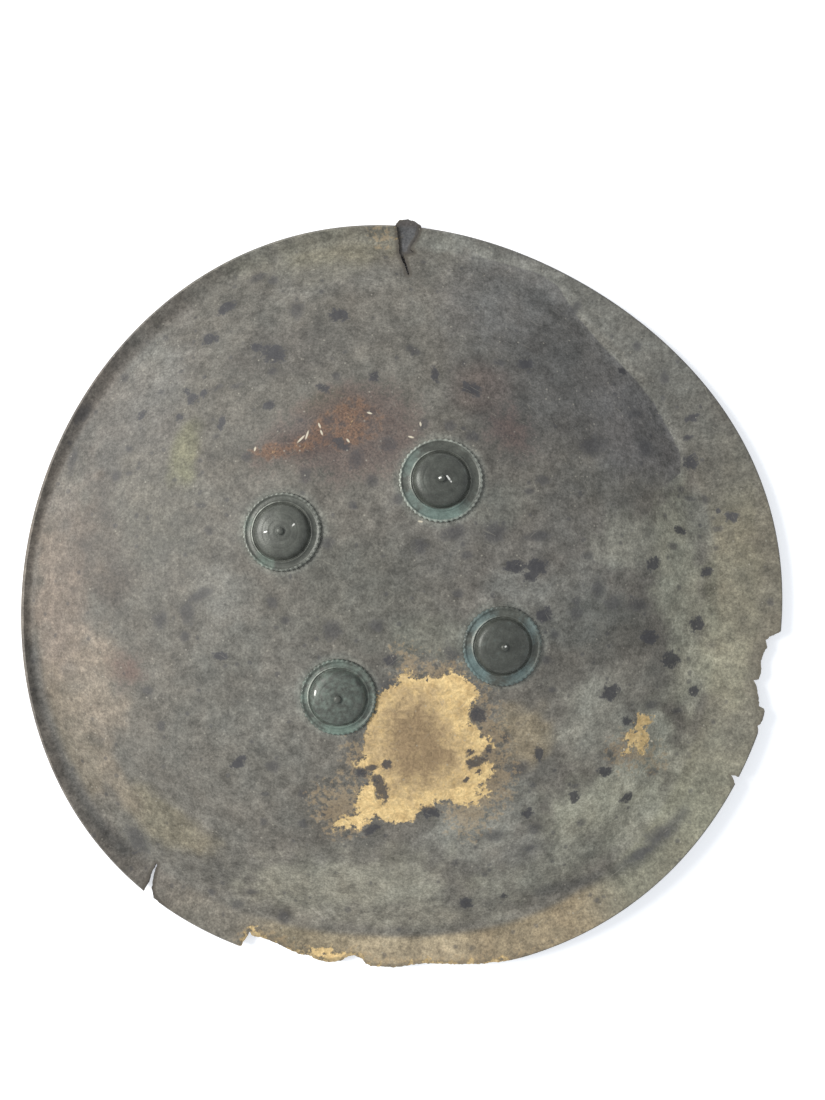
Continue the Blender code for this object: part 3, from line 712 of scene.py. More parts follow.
GROUND_TONE = "#78746d"
TONES = (
    (340, 250, 110, 30, 8, "#8f8a78", 0.6), (120, 400, 70, 120, -35, "#787572", 0.5),
    (62, 600, 40, 150, 0, "#8c7f74", 0.8), (76, 740, 34, 90, 12, "#877d6d", 0.6),
    (150, 520, 50, 60, 0, "#6f6d66", 0.45), (186, 452, 14, 32, -15, "#8b8a6c", 0.5),
    (165, 820, 66, 26, -40, "#938a74", 0.6), (118, 668, 20, 18, 0, "#7f6a60", 0.45),
    (100, 548, 40, 70, 0, "#69625c", 0.6), (200, 900, 70, 40, -30, "#85817a", 0.6),
    (250, 720, 90, 80, 0, "#7a7973", 0.4), (360, 590, 90, 60, 0, "#6c6c65", 0.5),
    (560, 560, 130, 70, 0, "#767370", 0.4), (728, 580, 30, 110, -4, "#827f6f", 0.75),
    (742, 510, 18, 80, 10, "#7a7666", 0.7), (700, 790, 70, 90, 35, "#8b897a", 0.65),
    (610, 810, 80, 50, 10, "#b6b4a2", 0.8), (485, 825, 60, 50, 0, "#9a988f", 0.7),
    (528, 730, 26, 34, 0, "#a3957d", 0.8), (580, 850, 120, 30, 22, "#9b998d", 0.65),
    (360, 884, 120, 40, 0, "#a5a192", 0.75), (430, 500, 70, 80, 0, "#736f6a", 0.3),
    (484, 256, 20, 12, -20, "#93938c", 0.5), (524, 264, 24, 12, -20, "#605f5d", 0.85),
    (440, 243, 40, 14, 0, "#95968f", 0.6),
    (240, 650, 30, 40, 0, "#6f6f6a", 0.55), (640, 545, 50, 34, 0, "#9b998d", 0.7),
    (594, 722, 40, 50, 0, "#a6a499", 0.75), (520, 852, 30, 18, 20, "#8e8c86", 0.7),
    (104, 712, 24, 34, 10, "#988c7e", 0.5), (250, 300, 40, 26, 30, "#63625e", 0.5),
    # The pale ellipses at (684, 690), (678, 590) and (722, 668) are painted light: they lighten the right
    # side of the dome and its trough, which turn away from the lamp.
    (684, 690, 30, 24, 0, "#a3a193", 0.6),
    (678, 590, 30, 130, 4, "#aaa898", 0.85), (648, 750, 42, 44, 0, "#bcbaab", 0.75),
    (722, 668, 24, 54, 0, "#aeab97", 0.75), (250, 350, 60, 40, 20, "#6d6b66", 0.4),
    (150, 350, 36, 40, 0, "#8d8b85", 0.5), (316, 280, 80, 22, 0, "#83807a", 0.5),
    (290, 350, 70, 30, 0, "#625e5a", 0.55), (560, 600, 70, 40, 0, "#8a8a85", 0.6),
    (328, 402, 30, 16, 10, "#6d6454", 0.5),
    (296, 447, 46, 16, 8, "#544a43", 0.6), (400, 915, 110, 17, 0, "#a19c8f", 0.7),
    (620, 478, 60, 34, 0, "#5f5f5b", 0.35), (600, 622, 60, 34, 0, "#63645f", 0.4),
    (700, 520, 20, 40, 0, "#8a8a82", 0.6), (640, 682, 44, 30, 0, "#8e8b82", 0.5),
    (430, 640, 44, 22, 0, "#8c8c80", 0.5), (376, 334, 50, 22, 0, "#66635e", 0.5),
    (130, 830, 30, 14, -54, "#8d8a82", 0.6), (60, 480, 24, 60, 0, "#948f88", 0.45),
    (220, 600, 40, 40, 0, "#93928c", 0.45), (300, 922, 50, 12, 20, "#9c968b", 0.5),
    (94, 690, 36, 70, 8, "#968a7c", 0.6), (112, 775, 52, 17, -54, "#94897a", 0.6),
    (484, 256, 16, 10, -20, "#a8a8a0", 0.5), (500, 505, 40, 24, 0, "#7f8078", 0.5),
)
# The crease at the upper right, and the tones inside it: painted shade on the dome's slope, which faces away
# from the lamp.
CREASE_LINE = (
    (440, 232), (484, 258), (514, 266), (540, 274), (558, 286), (577, 316), (604, 348), (631, 375),
    (653, 402), (671, 434), (681, 456), (680, 473), (668, 484), (640, 500), (560, 540), (460, 520),
    (400, 400), (410, 280),
)
CREASE_END = 13
CREASE_SHADE_TONES = (
    (600, 350, 170, 130, -38, "#6b6a69", 0.95), (650, 425, 84, 70, -50, "#757271", 0.85),
    (525, 390, 80, 90, 0, "#5d5b59", 0.65), (570, 520, 90, 40, 0, "#696763", 0.5),
    (485, 300, 60, 60, 0, "#7c7a78", 0.5), (480, 388, 34, 30, 0, "#70615c", 0.45),
)
# The lip's tones by bearing: the tan ones along the bottom are bare, worn hide, and the darker one at the
# lower left, at 222, is painted shade where the lip turns away from the lamp, with some dirt in it.
LIP_TONES_AND_SHADE = (
    (175, 60, "#857c74", 0.6), (222, 30, "#77716b", 0.6), (242, 16, "#8d867a", 0.6),
    (289, 27, "#9a8a70", 0.9), (258, 16, "#a8987a", 0.6), (272, 15, "#b5a68c", 0.9),
    (318, 20, "#918f7d", 0.75), (340, 18, "#827e6e", 0.5), (8, 28, "#857e6d", 0.6), (50, 32, "#73726d", 0.9),
    (27, 16, "#6a6862", 0.7), (75, 16, "#706f6c", 0.6), (100, 30, "#8a8880", 0.4), (140, 26, "#6e6863", 0.4),
)
TROUGH_SHADE = (
    ((540, 892), (590, 880), (633, 861), (664, 836), (684, 812)),
    ((33, 650), (39, 690), (50, 724), (66, 766), (86, 802), (108, 834), (126, 852)),
)


# %% Paint the tones on the points
ZONE_CORE, ZONE_FADE = 0.45, 0.8


def painted(base, over, share):
    return base + (np.array(over) - base) * share[:, None]


def zoned(tone, zones, ragged_edge):
    """Lays soft ellipses of colour over the tone, each with a cloudy edge."""
    for across_px, down_px, half_long, half_wide, tilt, shade, strength in zones:
        x, y = laid(across_px, down_px)
        u, v = along_and_square(coords, x, y, tilt)
        reach = np.hypot(u * 1000 / (half_long * MM_PER_PX), v * 1000 / (half_wide * MM_PER_PX))
        share = strength * (1 - smooth_step((reach + ragged_edge - ZONE_CORE) / ZONE_FADE))
        tone = painted(tone, colour(shade), share)
    return tone


bearing, radius = bearing_of(coords[:, 0], coords[:, 1]), np.hypot(coords[:, 0], coords[:, 1])
rest = outline_radius(bearing) - lip_width(bearing)
LIP_BLEND = 0.006
on_lip = smooth_step((radius - rest + LIP_BLEND / 2) / LIP_BLEND)
cloudy = 0.45 * unevenness(coords, 0.022, 3) + 0.3 * unevenness(coords, 0.008, 4)
tone = np.tile(colour(GROUND_TONE), (len(coords), 1))
outside = zoned(tone, TONES, cloudy)
shaded_inside_crease = zoned(outside, CREASE_SHADE_TONES, 0.3 * cloudy)
INSIDE_FADE, OUTSIDE_FADE, OPEN_SIDE_FADE = 0.014, 0.008, 0.03
crease_points = [laid(*point) for point in CREASE_LINE]
at_crease = edge_distance(crease_points[:CREASE_END])
# Just inside the crease, painted light lifts the painted shade a little, where the steepening slope turns
# furthest from the lamp.
shaded_inside_crease = painted(shaded_inside_crease, colour("#82807f"), 0.2 * (1 - smooth_step(at_crease / INSIDE_FADE)))
from_open_side = edge_distance([*crease_points[CREASE_END:], crease_points[0]])
shaded_inside_crease = outside + (shaded_inside_crease - outside) * smooth_step(from_open_side / OPEN_SIDE_FADE)[:, None]
for lip_bearing, lip_spread, shade, strength in LIP_TONES_AND_SHADE:
    share = np.minimum(1.7 * hump(bearing, lip_bearing, lip_spread), 1)
    outside = painted(outside, colour(shade), strength * on_lip * share)
# Just outside the crease the lip is painted lighter: a painted lit band, where the lip faces the lamp.
outside = painted(outside, colour("#a3a29b"), 0.42 * (1 - smooth_step(at_crease / OUTSIDE_FADE)))
SHADE_WIDTH, HALO_WIDTH = 0.007, 0.0045
shaded = np.zeros(len(coords))
for line in TROUGH_SHADE:
    away = edge_distance([np.array(laid(*point)) for point in line])
    shaded = np.maximum(shaded, 0.7 * (1 - smooth_step((away + 0.004 * cloudy) / SHADE_WIDTH)))
outside = painted(outside, colour("#5f5e5c"), shaded)
halo = np.zeros(len(coords))
for name in BOSSES:
    away = beyond_flange(name, coords[:, 0], coords[:, 1])
    halo = np.maximum(halo, 0.5 * (1 - smooth_step((away + 0.003 * cloudy) / HALO_WIDTH)))
outside, shaded_inside_crease = (painted(side, colour("#93958e"), halo) for side in (outside, shaded_inside_crease))
sunk = coords[:, 2] < face_height(coords[:, 0], coords[:, 1]) - 0.5 * TORN_DEPTH
# The sunk torn layer is painted darker grey: painted shade in the tear.
outside[inside(layer_line) & sunk] = colour("#69696b")
print("mean tone of the face, linear:", np.round(outside[outer_face].mean(axis=0)[:3], 3))


# %% Store the fields and the tones on the mesh
def store(piece, name, values):
    piece.data.attributes.new(name, "FLOAT", "POINT").data.foreach_set("value", values.astype(np.float32))


fields["rim"] = 1 - np.clip((outline_radius(bearing) - radius) / RIM_BAND, 0, 1)
fields["crease"] = area_field([CREASE_LINE], SOFTNESS["crease"])
for name, values in fields.items():
    store(hide, name, values)
for name, values in (("tone", outside), ("shaded_tone_inside", shaded_inside_crease)):
    tones = hide.data.attributes.new(name, "FLOAT_COLOR", "POINT")
    tones.data.foreach_set("color", values.astype(np.float32).ravel())
hide.data.shade_smooth()
hide.data.set_sharp_from_angle(angle=math.radians(42))

# %% [markdown]
# ## The hide's material
#
# This is raw buffalo or rhinoceros hide, pressed and dried, not tanned leather. It's hard and
# horny, with a pebbled grain of about a millimetre, and its skin is stained dark and dulled by
# dust. That gives the eye a mottled grey without gloss, broken by fine pale scratches. Where
# the skin has flaked, the pale fibrous core shows. One Principled shader carries it all, and
# the layers are mixed in the order that they lie on each other: ground, mottling, rubbed
# places, stains, flaked core, broken edges, painted shade in the cracks, and pale specks on
# top, partly dust and partly painted glints.

# %% One function that adds a node, and short forms of it
def add(tree, kind, links, **settings):
    """Adds one node, sets it up, and sets or links its sockets by name."""
    node = tree.nodes.new("ShaderNode" + kind)
    for name, value in settings.items():
        setattr(node, name, value)
    for name, value in links.items():
        socket = next(s for s in node.inputs if s.enabled and name in (s.name, s.identifier))
        if isinstance(value, bpy.types.Node):
            value = next(s for s in value.outputs if s.enabled)
        if isinstance(value, bpy.types.NodeSocket):
            tree.links.new(value, socket)
        else:
            socket.default_value = value
    return node


def new_material(name):
    material = bpy.data.materials.new(name)
    material.use_nodes = True
    return material, material.node_tree, material.node_tree.nodes["Principled BSDF"]


def plug(tree, shader, links):
    for name, node in links.items():
        tree.links.new(next(s for s in node.outputs if s.enabled), shader.inputs[name])


def attribute(tree, name, output="Fac"):
    return add(tree, "Attribute", {}, attribute_name=name).outputs[output]


def per_mm(size):
    """The scale of a pattern in object space, where a unit is a metre."""
    return 1000 / size


def cloud(tree, place, size_mm, detail, roughness, distortion=0.0):
    links = {"Vector": place, "Scale": per_mm(size_mm), "Detail": detail, "Roughness": roughness}
    return add(tree, "TexNoise", {**links, "Distortion": distortion})


def placed(tree, place, turn, size, middle=(0, 0, 0)):
    """Moves, turns and stretches a pattern to lie at a place."""
    links = {"Vector": place, "Location": middle, "Rotation": (0, 0, turn), "Scale": size}
    return add(tree, "Mapping", links, vector_type="TEXTURE")


def mix(tree, share, below, above, **settings):
    """Lays one colour over another. Each is a node, a linear colour or a hex code."""
    below, above = (colour(paint) if isinstance(paint, str) else paint for paint in (below, above))
    return add(tree, "Mix", {"Factor": share, "A": below, "B": above}, data_type="RGBA", **settings)


def maths(tree, operation, *values):
    return add(tree, "Math", dict(zip(("Value", "Value_001", "Value_002"), values)), operation=operation)


def times(tree, one, other):
    return maths(tree, "MULTIPLY", one, other)


def times_plus(tree, one, other, more):
    return maths(tree, "MULTIPLY_ADD", one, other, more)


def shaded_by(tree, paint, amount):
    return add(tree, "VectorMath", {"Vector": paint, "Scale": amount}, operation="SCALE")


def ramp(tree, value, start, end, low=0.0, high=1.0, **settings):
    """Stretches a value, so that start becomes low and end becomes high."""
    links = {"Value": value, "From Min": start, "From Max": end, "To Min": low, "To Max": high}
    return add(tree, "MapRange", links, **settings)


def spread(tree, pattern, low, high):
    """Stretches a noise pattern's middle range to run from low to high."""
    return ramp(tree, pattern, 0.3, 0.7, low, high)


def cut_at_half(tree, field, rough, roughness, softness):
    """Cuts a soft field at a half, with a pattern added, so the edge turns ragged."""
    wavy = times_plus(tree, maths(tree, "SUBTRACT", rough, 0.5), roughness, field)
    cut = ramp(tree, wavy, 0.5 - softness, 0.5 + softness, interpolation_type="SMOOTHSTEP")
    return times(tree, cut, ramp(tree, field, 0.02, 0.25))


# %% Patterns of the hide, at their real sizes
raw_hide, tree, shader = new_material("pressed raw hide")
place = add(tree, "TexCoord", {}).outputs["Object"]
clouds = cloud(tree, place, 38, 3.0, 0.55)
blots = cloud(tree, place, 9, 4.0, 0.6)
ragged = cloud(tree, place, 3.2, 5.0, 0.65)
grain = cloud(tree, place, 1.3, 3.0, 0.7)
hues = cloud(tree, place, 22, 2.0, 0.5)
pebbles, specks, pits = (
    add(tree, "TexVoronoi", {"Vector": place, "Scale": per_mm(size_mm)}) for size_mm in (1.5, 3, 8)
)
field = {name: attribute(tree, name) for name in fields}

# %% Ground and mottling
# Inside the crease line the ground takes the tones with painted shade, outside it the tones with the painted
# lit band on the lip.
crease_shade_mask = cut_at_half(tree, field["crease"], ragged, 0.25, 0.05)
ground = mix(tree, crease_shade_mask, attribute(tree, "tone", "Color"), attribute(tree, "shaded_tone_inside", "Color"))
speck = spread(tree, grain, 0.68, 1.36)
shading = times(tree, spread(tree, clouds, 0.84, 1.16), spread(tree, blots, 0.68, 1.30))
shading = times(tree, shading, spread(tree, ragged, 0.70, 1.30))
shading = times(tree, shading, speck)
warm = mix(tree, hues, (0.94, 1.0, 1.01, 1), (1.05, 1.01, 0.95, 1))
mottled = shaded_by(tree, mix(tree, 1.0, ground, warm, blend_type="MULTIPLY"), shading)

# %% Rubbed places, down to a reddish layer with orange scratches
uneven = times(tree, maths(tree, "ADD", blots, ragged), 0.5)
rub_mask = cut_at_half(tree, field["rubbed"], uneven, 2.2, 0.3)
rub_tint = mix(tree, spread(tree, grain, 0, 1), "#4a3c40", "#7c6158")
rubbed_face = mix(tree, times(tree, rub_mask, 0.5), mottled, rub_tint)
orange_mask = cut_at_half(tree, field["rub_core"], uneven, 4.6, 0.4)
orange = mix(tree, spread(tree, grain, 0, 1), "#4c3c34", "#a87c5a")
rubbed_face = mix(tree, times(tree, orange_mask, 0.6), rubbed_face, orange)
scratches = cloud(tree, placed(tree, place, 1.1, (5, 1, 1)), 1.8, 4.0, 0.75)
scratch_mask = ramp(tree, scratches, 0.62, 0.70, interpolation_type="SMOOTHSTEP")
deep_rub = ramp(tree, field["rub_core"], 0.45, 0.9)
rubbed_face = mix(tree, times(tree, scratch_mask, deep_rub), rubbed_face, "#dcbc84")

# %% Dark and soft stains, and small dark pits in some of the cells of a pattern
stain_tone = mix(tree, ragged, "#333238", "#58585a")
soft_mask = cut_at_half(tree, field["soft"], ragged, 1.3, 0.26)
stained = mix(tree, times(tree, soft_mask, 0.6), rubbed_face, stain_tone)
dark_mask = cut_at_half(tree, field["dark"], ragged, 1.5, 0.14)
chosen = add(tree, "SeparateColor", {"Color": pits.outputs["Color"]}).outputs["Red"]
pit_here = maths(tree, "GREATER_THAN", chosen, 0.72)
pit_size = times_plus(tree, ragged, 0.62, -0.12)
pit_mask = ramp(tree, maths(tree, "SUBTRACT", pit_size, pits.outputs["Distance"]), -0.04, 0.08, 0, 0.55)
stained = mix(tree, times(tree, pit_mask, pit_here), stained, stain_tone)

# %% Flaked places, down to the pale core
flake_mask = cut_at_half(tree, field["flaked"], uneven, 1.3, 0.05)
fleck_mask = cut_at_half(tree, field["flecked"], ragged, 3.6, 0.2)
fleck_tone = mix(tree, grain, "#78685a", "#d6ba8a")
stained = mix(tree, times(tree, fleck_mask, 0.5), stained, fleck_tone)
cream = mix(tree, ragged, "#d8b276", "#fbe2a8")
cream = mix(tree, spread(tree, blots, -0.3, 0.45), cream, "#a98a5e")
tan = mix(tree, ragged, "#977f5c", "#dac092")
core_brown = mix(tree, uneven, "#72604a", "#b39a75")
tanned = cut_at_half(tree, field["browned"], uneven, 1.8, 0.3)
browning = cut_at_half(tree, maths(tree, "SUBTRACT", field["browned"], 0.34), uneven, 1.8, 0.2)
core = mix(tree, tanned, cream, tan)
core = mix(tree, browning, core, core_brown)
curls = cloud(tree, place, 5, 4.0, 0.6, 1.6)
core_shade = times(tree, spread(tree, grain, 0.84, 1.14), spread(tree, curls, 0.80, 1.42))
flaked_face = mix(tree, flake_mask, stained, shaded_by(tree, core, core_shade))
face_paint = mix(tree, times(tree, dark_mask, 0.9), flaked_face, stain_tone)

# %% Broken edges, painted shade in the cracks, the rim, and pale specks of dust and painted glints
edge_mask = cut_at_half(tree, field["broken"], ragged, 0.8, 0.12)
face_paint = mix(tree, times(tree, edge_mask, 0.45), face_paint, "#6a6356")
# Along the tear and the crack at the lower left, the face is painted darker: painted shade in the cracks.
face_paint = mix(tree, ramp(tree, field["crack"], 0.35, 1.0, 0, 0.6), face_paint, "#47423f")
face_paint = mix(tree, ramp(tree, field["rim"], 0.55, 1.0, 0, 0.55), face_paint, "#544b44")
# Pale specks in a few cells of a pattern: partly dust, partly painted glints on the grain.
dust_and_glint_mask = ramp(tree, specks.outputs["Distance"], 0.24, 0.12)
picked = add(tree, "SeparateColor", {"Color": specks.outputs["Color"]}).outputs["Green"]
dust_and_glint_share = times(tree, times(tree, dust_and_glint_mask, ramp(tree, picked, 0.84, 0.96)), 0.55)
face_paint = mix(tree, dust_and_glint_share, face_paint, "#b9b4a6")

# %% Fine pale lines, the nicks and painted glints, and the back
lines = 0.0
for turn in (0.7, -0.5, 2.0):
    streak = cloud(tree, placed(tree, place, turn, (16, 1, 1)), 1.2, 3.0, 0.6)
    drawn = ramp(tree, streak, 0.66, 0.72, interpolation_type="SMOOTHSTEP")
    lines = maths(tree, "MAXIMUM", lines, drawn)
face_paint = mix(tree, times(tree, lines, 0.3), face_paint, "#aaa698")
nick_and_glint_marks = 0.0
for x0, y0, x1, y1 in NICKS_AND_GLINTS:
    start, end = np.array(laid(x0, y0)), np.array(laid(x1, y1))
    along = end - start
    size = (np.linalg.norm(along) / 2, NICK_AND_GLINT_WIDTH, 1)
    middle = (*((start + end) / 2 + OUTLINE_MIDDLE), 0)
    spot = placed(tree, place, math.atan2(along[1], along[0]), size, middle)
    bright_mark = add(tree, "TexGradient", {"Vector": spot}, gradient_type="SPHERICAL").outputs["Fac"]
    nick_and_glint_marks = maths(tree, "MAXIMUM", nick_and_glint_marks, bright_mark)
# The nicks and painted glints are laid on as near white marks.
face_paint = mix(tree, ramp(tree, nick_and_glint_marks, 0.1, 0.5, 0, 0.85), face_paint, "#eee4cc")
back_tone = shaded_by(tree, mix(tree, blots, "#5d5146", "#85755f"), speck)
paint = mix(tree, field["outer"], back_tone, face_paint)

# %% Relief and gloss of the hide
relief = times(tree, pebbles.outputs["Distance"], -0.5)
for pattern, height in ((grain, 0.8), (scratches, 0.35), (flake_mask, -1.6)):
    relief = times_plus(tree, pattern, height, relief)
bump = add(tree, "Bump", {"Height": relief, "Strength": 0.75, "Distance": 0.00022})
gloss = times_plus(tree, dark_mask, -0.12, spread(tree, blots, 0.55, 0.75))
plug(tree, shader, {"Base Color": paint, "Normal": bump, "Roughness": gloss})
shader.inputs["Specular IOR Level"].default_value = 0.35
hide.data.materials.clear()
hide.data.materials.append(raw_hide)
print(f"the hide's material has {len(tree.nodes)} nodes")

# %% Hand the hide over
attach(hide, "root")
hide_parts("hide")

# %% [markdown]
# ## The bosses
#
# A boss of this kind is cast or raised from sheet brass and finished on a lathe: that leaves
# true circles, a bead at the foot of its dome and fine rings on the flange. The flange's edge
# is milled into small teeth. A turned profile gives all of that at once, and the teeth are a
# wave in the radius of the outermost rows. Every boss is knocked about in its own way.

# %% Sizes of a boss
BOSS_HEIGHT, BOSS_WALL = 0.0075, 0.0013
DOME_RADIUS, FLANGE_THICKNESS = 0.0168, 0.0013
BEAD_WIDTH, BEAD_RISE = 0.0022, 0.0005
TOOTH_DEPTH, TEETH, STEPS_PER_TOOTH = 0.0007, 48, 6
SHANK_RADIUS, HEAD_RADIUS, HEAD_HEIGHT = 0.0012, 0.0022, 0.0015
CLENCH_RADIUS, CLENCH_HEIGHT = 0.0034, 0.0013
CLEARANCE = 0.0003
CROWN_LINE = (
    (0.11, 0.995), (0.16, 0.99), (0.20, 0.975), (0.23, 0.985), (0.27, 0.978), (0.36, 0.962),
    (0.40, 0.948), (0.43, 0.955), (0.47, 0.944), (0.55, 0.915), (0.61, 0.893), (0.63, 0.875),
    (0.66, 0.878), (0.70, 0.858), (0.76, 0.825), (0.82, 0.78), (0.87, 0.72), (0.91, 0.64),
    (0.94, 0.55), (0.965, 0.44), (0.985, 0.33), (1.0, 0.26),
)


def boss_profile(flange_radius):
    """The outer side from the crown down to the edge, then the inside back up."""
    dome, top = DOME_RADIUS, BOSS_HEIGHT
    bore, flat, edge = SHANK_RADIUS + CLEARANCE, FLANGE_THICKNESS, flange_radius
    foot_bead = (
        (0.0003, flat + 0.0003), (0.0005, flat + 0.0003), (0.0007, flat + 0.0004), (0.0010, flat + 0.0007),
        (0.0014, flat + 0.0008), (0.0018, flat + 0.0006), (0.0022, flat + 0.0002), (0.0025, flat),
    )
    return (
        (bore, top),
        *((dome * across, top * up) for across, up in CROWN_LINE),
        *((dome + out, up) for out, up in foot_bead),
        (edge - 0.0029, flat - 0.0001), (edge - 0.0026, flat - 0.0001), (edge - 0.0022, flat + 0.0001),
        (edge - 0.0018, flat + 0.0003), (edge - 0.0014, flat + BEAD_RISE * 0.9),
        (edge - 0.0009, flat + BEAD_RISE), (edge - 0.0004, flat + BEAD_RISE * 0.6),
        (edge, flat - 0.0001), (edge, flat * 0.5), (edge, 0.0001), (edge - 0.0002, 0),
        (edge - BEAD_WIDTH, 0), (dome, 0), (dome - BOSS_WALL, 0),
        (dome * 0.91, top * 0.42), (dome * 0.80, top * 0.62), (dome * 0.5, top * 0.75),
        (bore, top - BOSS_WALL),
    )


# %% Turn a profile
def turned(name, profile, steps, closed, shape):
    """Spins a profile about Z. `shape` moves the points, which come as rows of a circle."""
    angle = np.arange(steps) * math.tau / steps
    radius, height = (np.array(part)[:, None] + 0 * angle for part in zip(*profile))
    radius, height = shape(radius, height, angle)
    vertices = np.stack([radius * np.cos(angle), radius * np.sin(angle), height], axis=2).reshape(-1, 3)
    row_count = len(profile)
    faces = []
    for row in range(row_count if closed else row_count - 1):
        this = row * steps + np.arange(steps)
        below = (row + 1) % row_count * steps + np.arange(steps)
        faces += np.stack([this, below, np.roll(below, -1), np.roll(this, -1)], axis=1).tolist()
    piece = mesh_object(name, vertices, faces)
    if not closed:
        solid = bmesh.new()
        solid.from_mesh(piece.data)
        bmesh.ops.remove_doubles(solid, verts=solid.verts, dist=1e-6)
        solid.to_mesh(piece.data)
        solid.free()
    return piece


def seat_matrix(name):
    """From a boss's own axes to its seat on the hide."""
    boss_x, boss_y = boss_place(name)
    across, along = slopes(pressed_height, boss_x, boss_y)
    tilt = Vector((0, 0, 1)).rotation_difference(Vector((-across, -along, 1)))
    height = float(face_height(boss_x, boss_y))
    foot = Vector((boss_x + OUTLINE_MIDDLE[0], boss_y + OUTLINE_MIDDLE[1], height))
    return Matrix.Translation(foot) @ tilt.to_matrix().to_4x4()


# %% Turn the bosses
KNOCK_DEPTH, KNOCK_SIZE = 0.00022, 0.009
bosses = {}
for seed, (name, (_, _, flange_radius)) in enumerate(BOSSES.items()):
    def knocked_about(radius, height, angle):
        """Mills the edge, and bends the whole boss a little out of true."""
        at_edge = smooth_step((radius - flange_radius + BEAD_WIDTH * 0.8) / (BEAD_WIDTH * 0.5))
        tooth = 0.5 - 0.5 * np.cos(TEETH * angle)
        radius = radius - TOOTH_DEPTH * tooth * at_edge
        height = height - KNOCK_DEPTH * tooth * at_edge * (height > FLANGE_THICKNESS)
        x, y = radius * np.cos(angle), radius * np.sin(angle)
        places = zip(x.ravel() / KNOCK_SIZE, y.ravel() / KNOCK_SIZE)
        lumps = np.array([noise.noise(Vector((*place, 11.0 * seed))) for place in places]).reshape(x.shape)
        inner = smooth_step((flange_radius - radius) / 0.004) * smooth_step((radius - 0.004) / 0.004)
        return radius, height + KNOCK_DEPTH * lumps * inner * (height > 0.0005)

    profile = boss_profile(flange_radius)
    boss = turned("turned_boss_" + name, profile, TEETH * STEPS_PER_TOOTH, True, knocked_about)
    boss.data.transform(Matrix.Translation((0, 0, CLEARANCE)))
    bosses[name] = boss
    print(f"boss {name}: {len(boss.data.polygons)} faces")

# %% Turn the rivets
HEAD_LINE = (
    (0, 1.0), (0.25, 0.985), (0.45, 0.94), (0.62, 0.86), (0.78, 0.73), (0.90, 0.56), (0.97, 0.38),
    (1.0, 0.2), (1.0, 0.0),
)
RIVET_STEPS = 32


def unchanged(radius, height, angle):
    return radius, height


rivets = {}
for name in BOSSES:
    boss_x, boss_y = boss_place(name)
    under_head = CLEARANCE + BOSS_HEIGHT + CLEARANCE
    grip = under_head + float(hide_thickness(boss_x, boss_y)) + CLEARANCE
    profile = [(HEAD_RADIUS * across, HEAD_HEIGHT * up) for across, up in HEAD_LINE]
    profile += [(SHANK_RADIUS, 0), (SHANK_RADIUS, -grip), (CLENCH_RADIUS, -grip)]
    profile += [(CLENCH_RADIUS * 0.8, -grip - CLENCH_HEIGHT * 0.75), (0, -grip - CLENCH_HEIGHT)]
    rivet = turned("domed_rivet_" + name, profile, RIVET_STEPS, False, unchanged)
    rivet.data.transform(Matrix.Translation((0, 0, under_head)))
    rivets[name] = rivet

# %% [markdown]
# ## Aged brass
#
# Brass that nobody polishes turns brown, then grey-green, and where damp sat it grows a pale
# powdery green. The eye sees mostly that crust, dull and without reflections, and metal only
# where fingers rub: the crown, the beads and the rivet head. So the metallic value follows the
# wear, and each boss carries a field that says where its green sits: along the lower flange
# on most, and all over on the one at the lower left. The wear field also carries a painted
# highlight on the bead at the dome's foot, brightest on the side towards the lamp.

# %% Where the green sits: bearing, spread and strength on the flange, then all over
GREEN = {
    "upper_right": (((272, 75, 0.95), (150, 50, 0.5), (215, 40, 0.5)), 0.10),
    "upper_left": (((240, 40, 0.5), (165, 30, 0.35)), 0.06),
    "lower_left": (((275, 70, 0.8), (90, 60, 0.4), (180, 50, 0.4)), 0.30),
    "lower_right": (((215, 60, 0.9), (130, 60, 0.55), (30, 50, 0.45), (300, 60, 0.55)), 0.12),
}
BLUENESS = {"upper_right": 0.35, "upper_left": 0.0, "lower_left": 0.1, "lower_right": 0.8}
GLINTS = {
    "upper_right": (((-1.4, 0.2), (-0.6, 0.4)), ((3.2, 1.6), (5.6, -1.8)), ((-20.3, -3.0), (-20.3, -5.2))),
    "upper_left": (((-9.6, -0.6), (-8.2, -0.2)), ((7.6, 3.2), (8.4, 4.2))),
    "lower_left": (((-13.4, 2.0), (-13.2, 4.6)),),
    "lower_right": (((0.2, 0.6), (0.6, 0.8)),),
}
GLINT_FADE = 0.0012
PALE_EDGE = {"upper_right": 0.8, "upper_left": 0.6, "lower_left": 0.25, "lower_right": 0.3}
DOME_GRIME = {"upper_right": 0.6, "upper_left": 0.15, "lower_left": 0.15, "lower_right": 0.6}


def ring_field(out, radius, width):
    """1 on a circle around the boss's axis, which fades to both sides."""
    return np.exp(-(((out - radius) / width) ** 2))


def glint_field(local, name):
    """1 on a short bright mark, which fades over a millimetre around it."""
    field = np.zeros(len(local))
    for start, end in GLINTS[name]:
        start, end = np.array(start) / 1000, np.array(end) / 1000
        along = end - start
        share = np.clip((local[:, :2] - start) @ along / (along @ along), 0, 1)
        away = np.linalg.norm(local[:, :2] - start - share[:, None] * along, axis=1)
        field = np.maximum(field, 1 - away / GLINT_FADE)
    return np.where(local[:, 2] > FLANGE_THICKNESS, np.clip(field, 0, 1), 0)


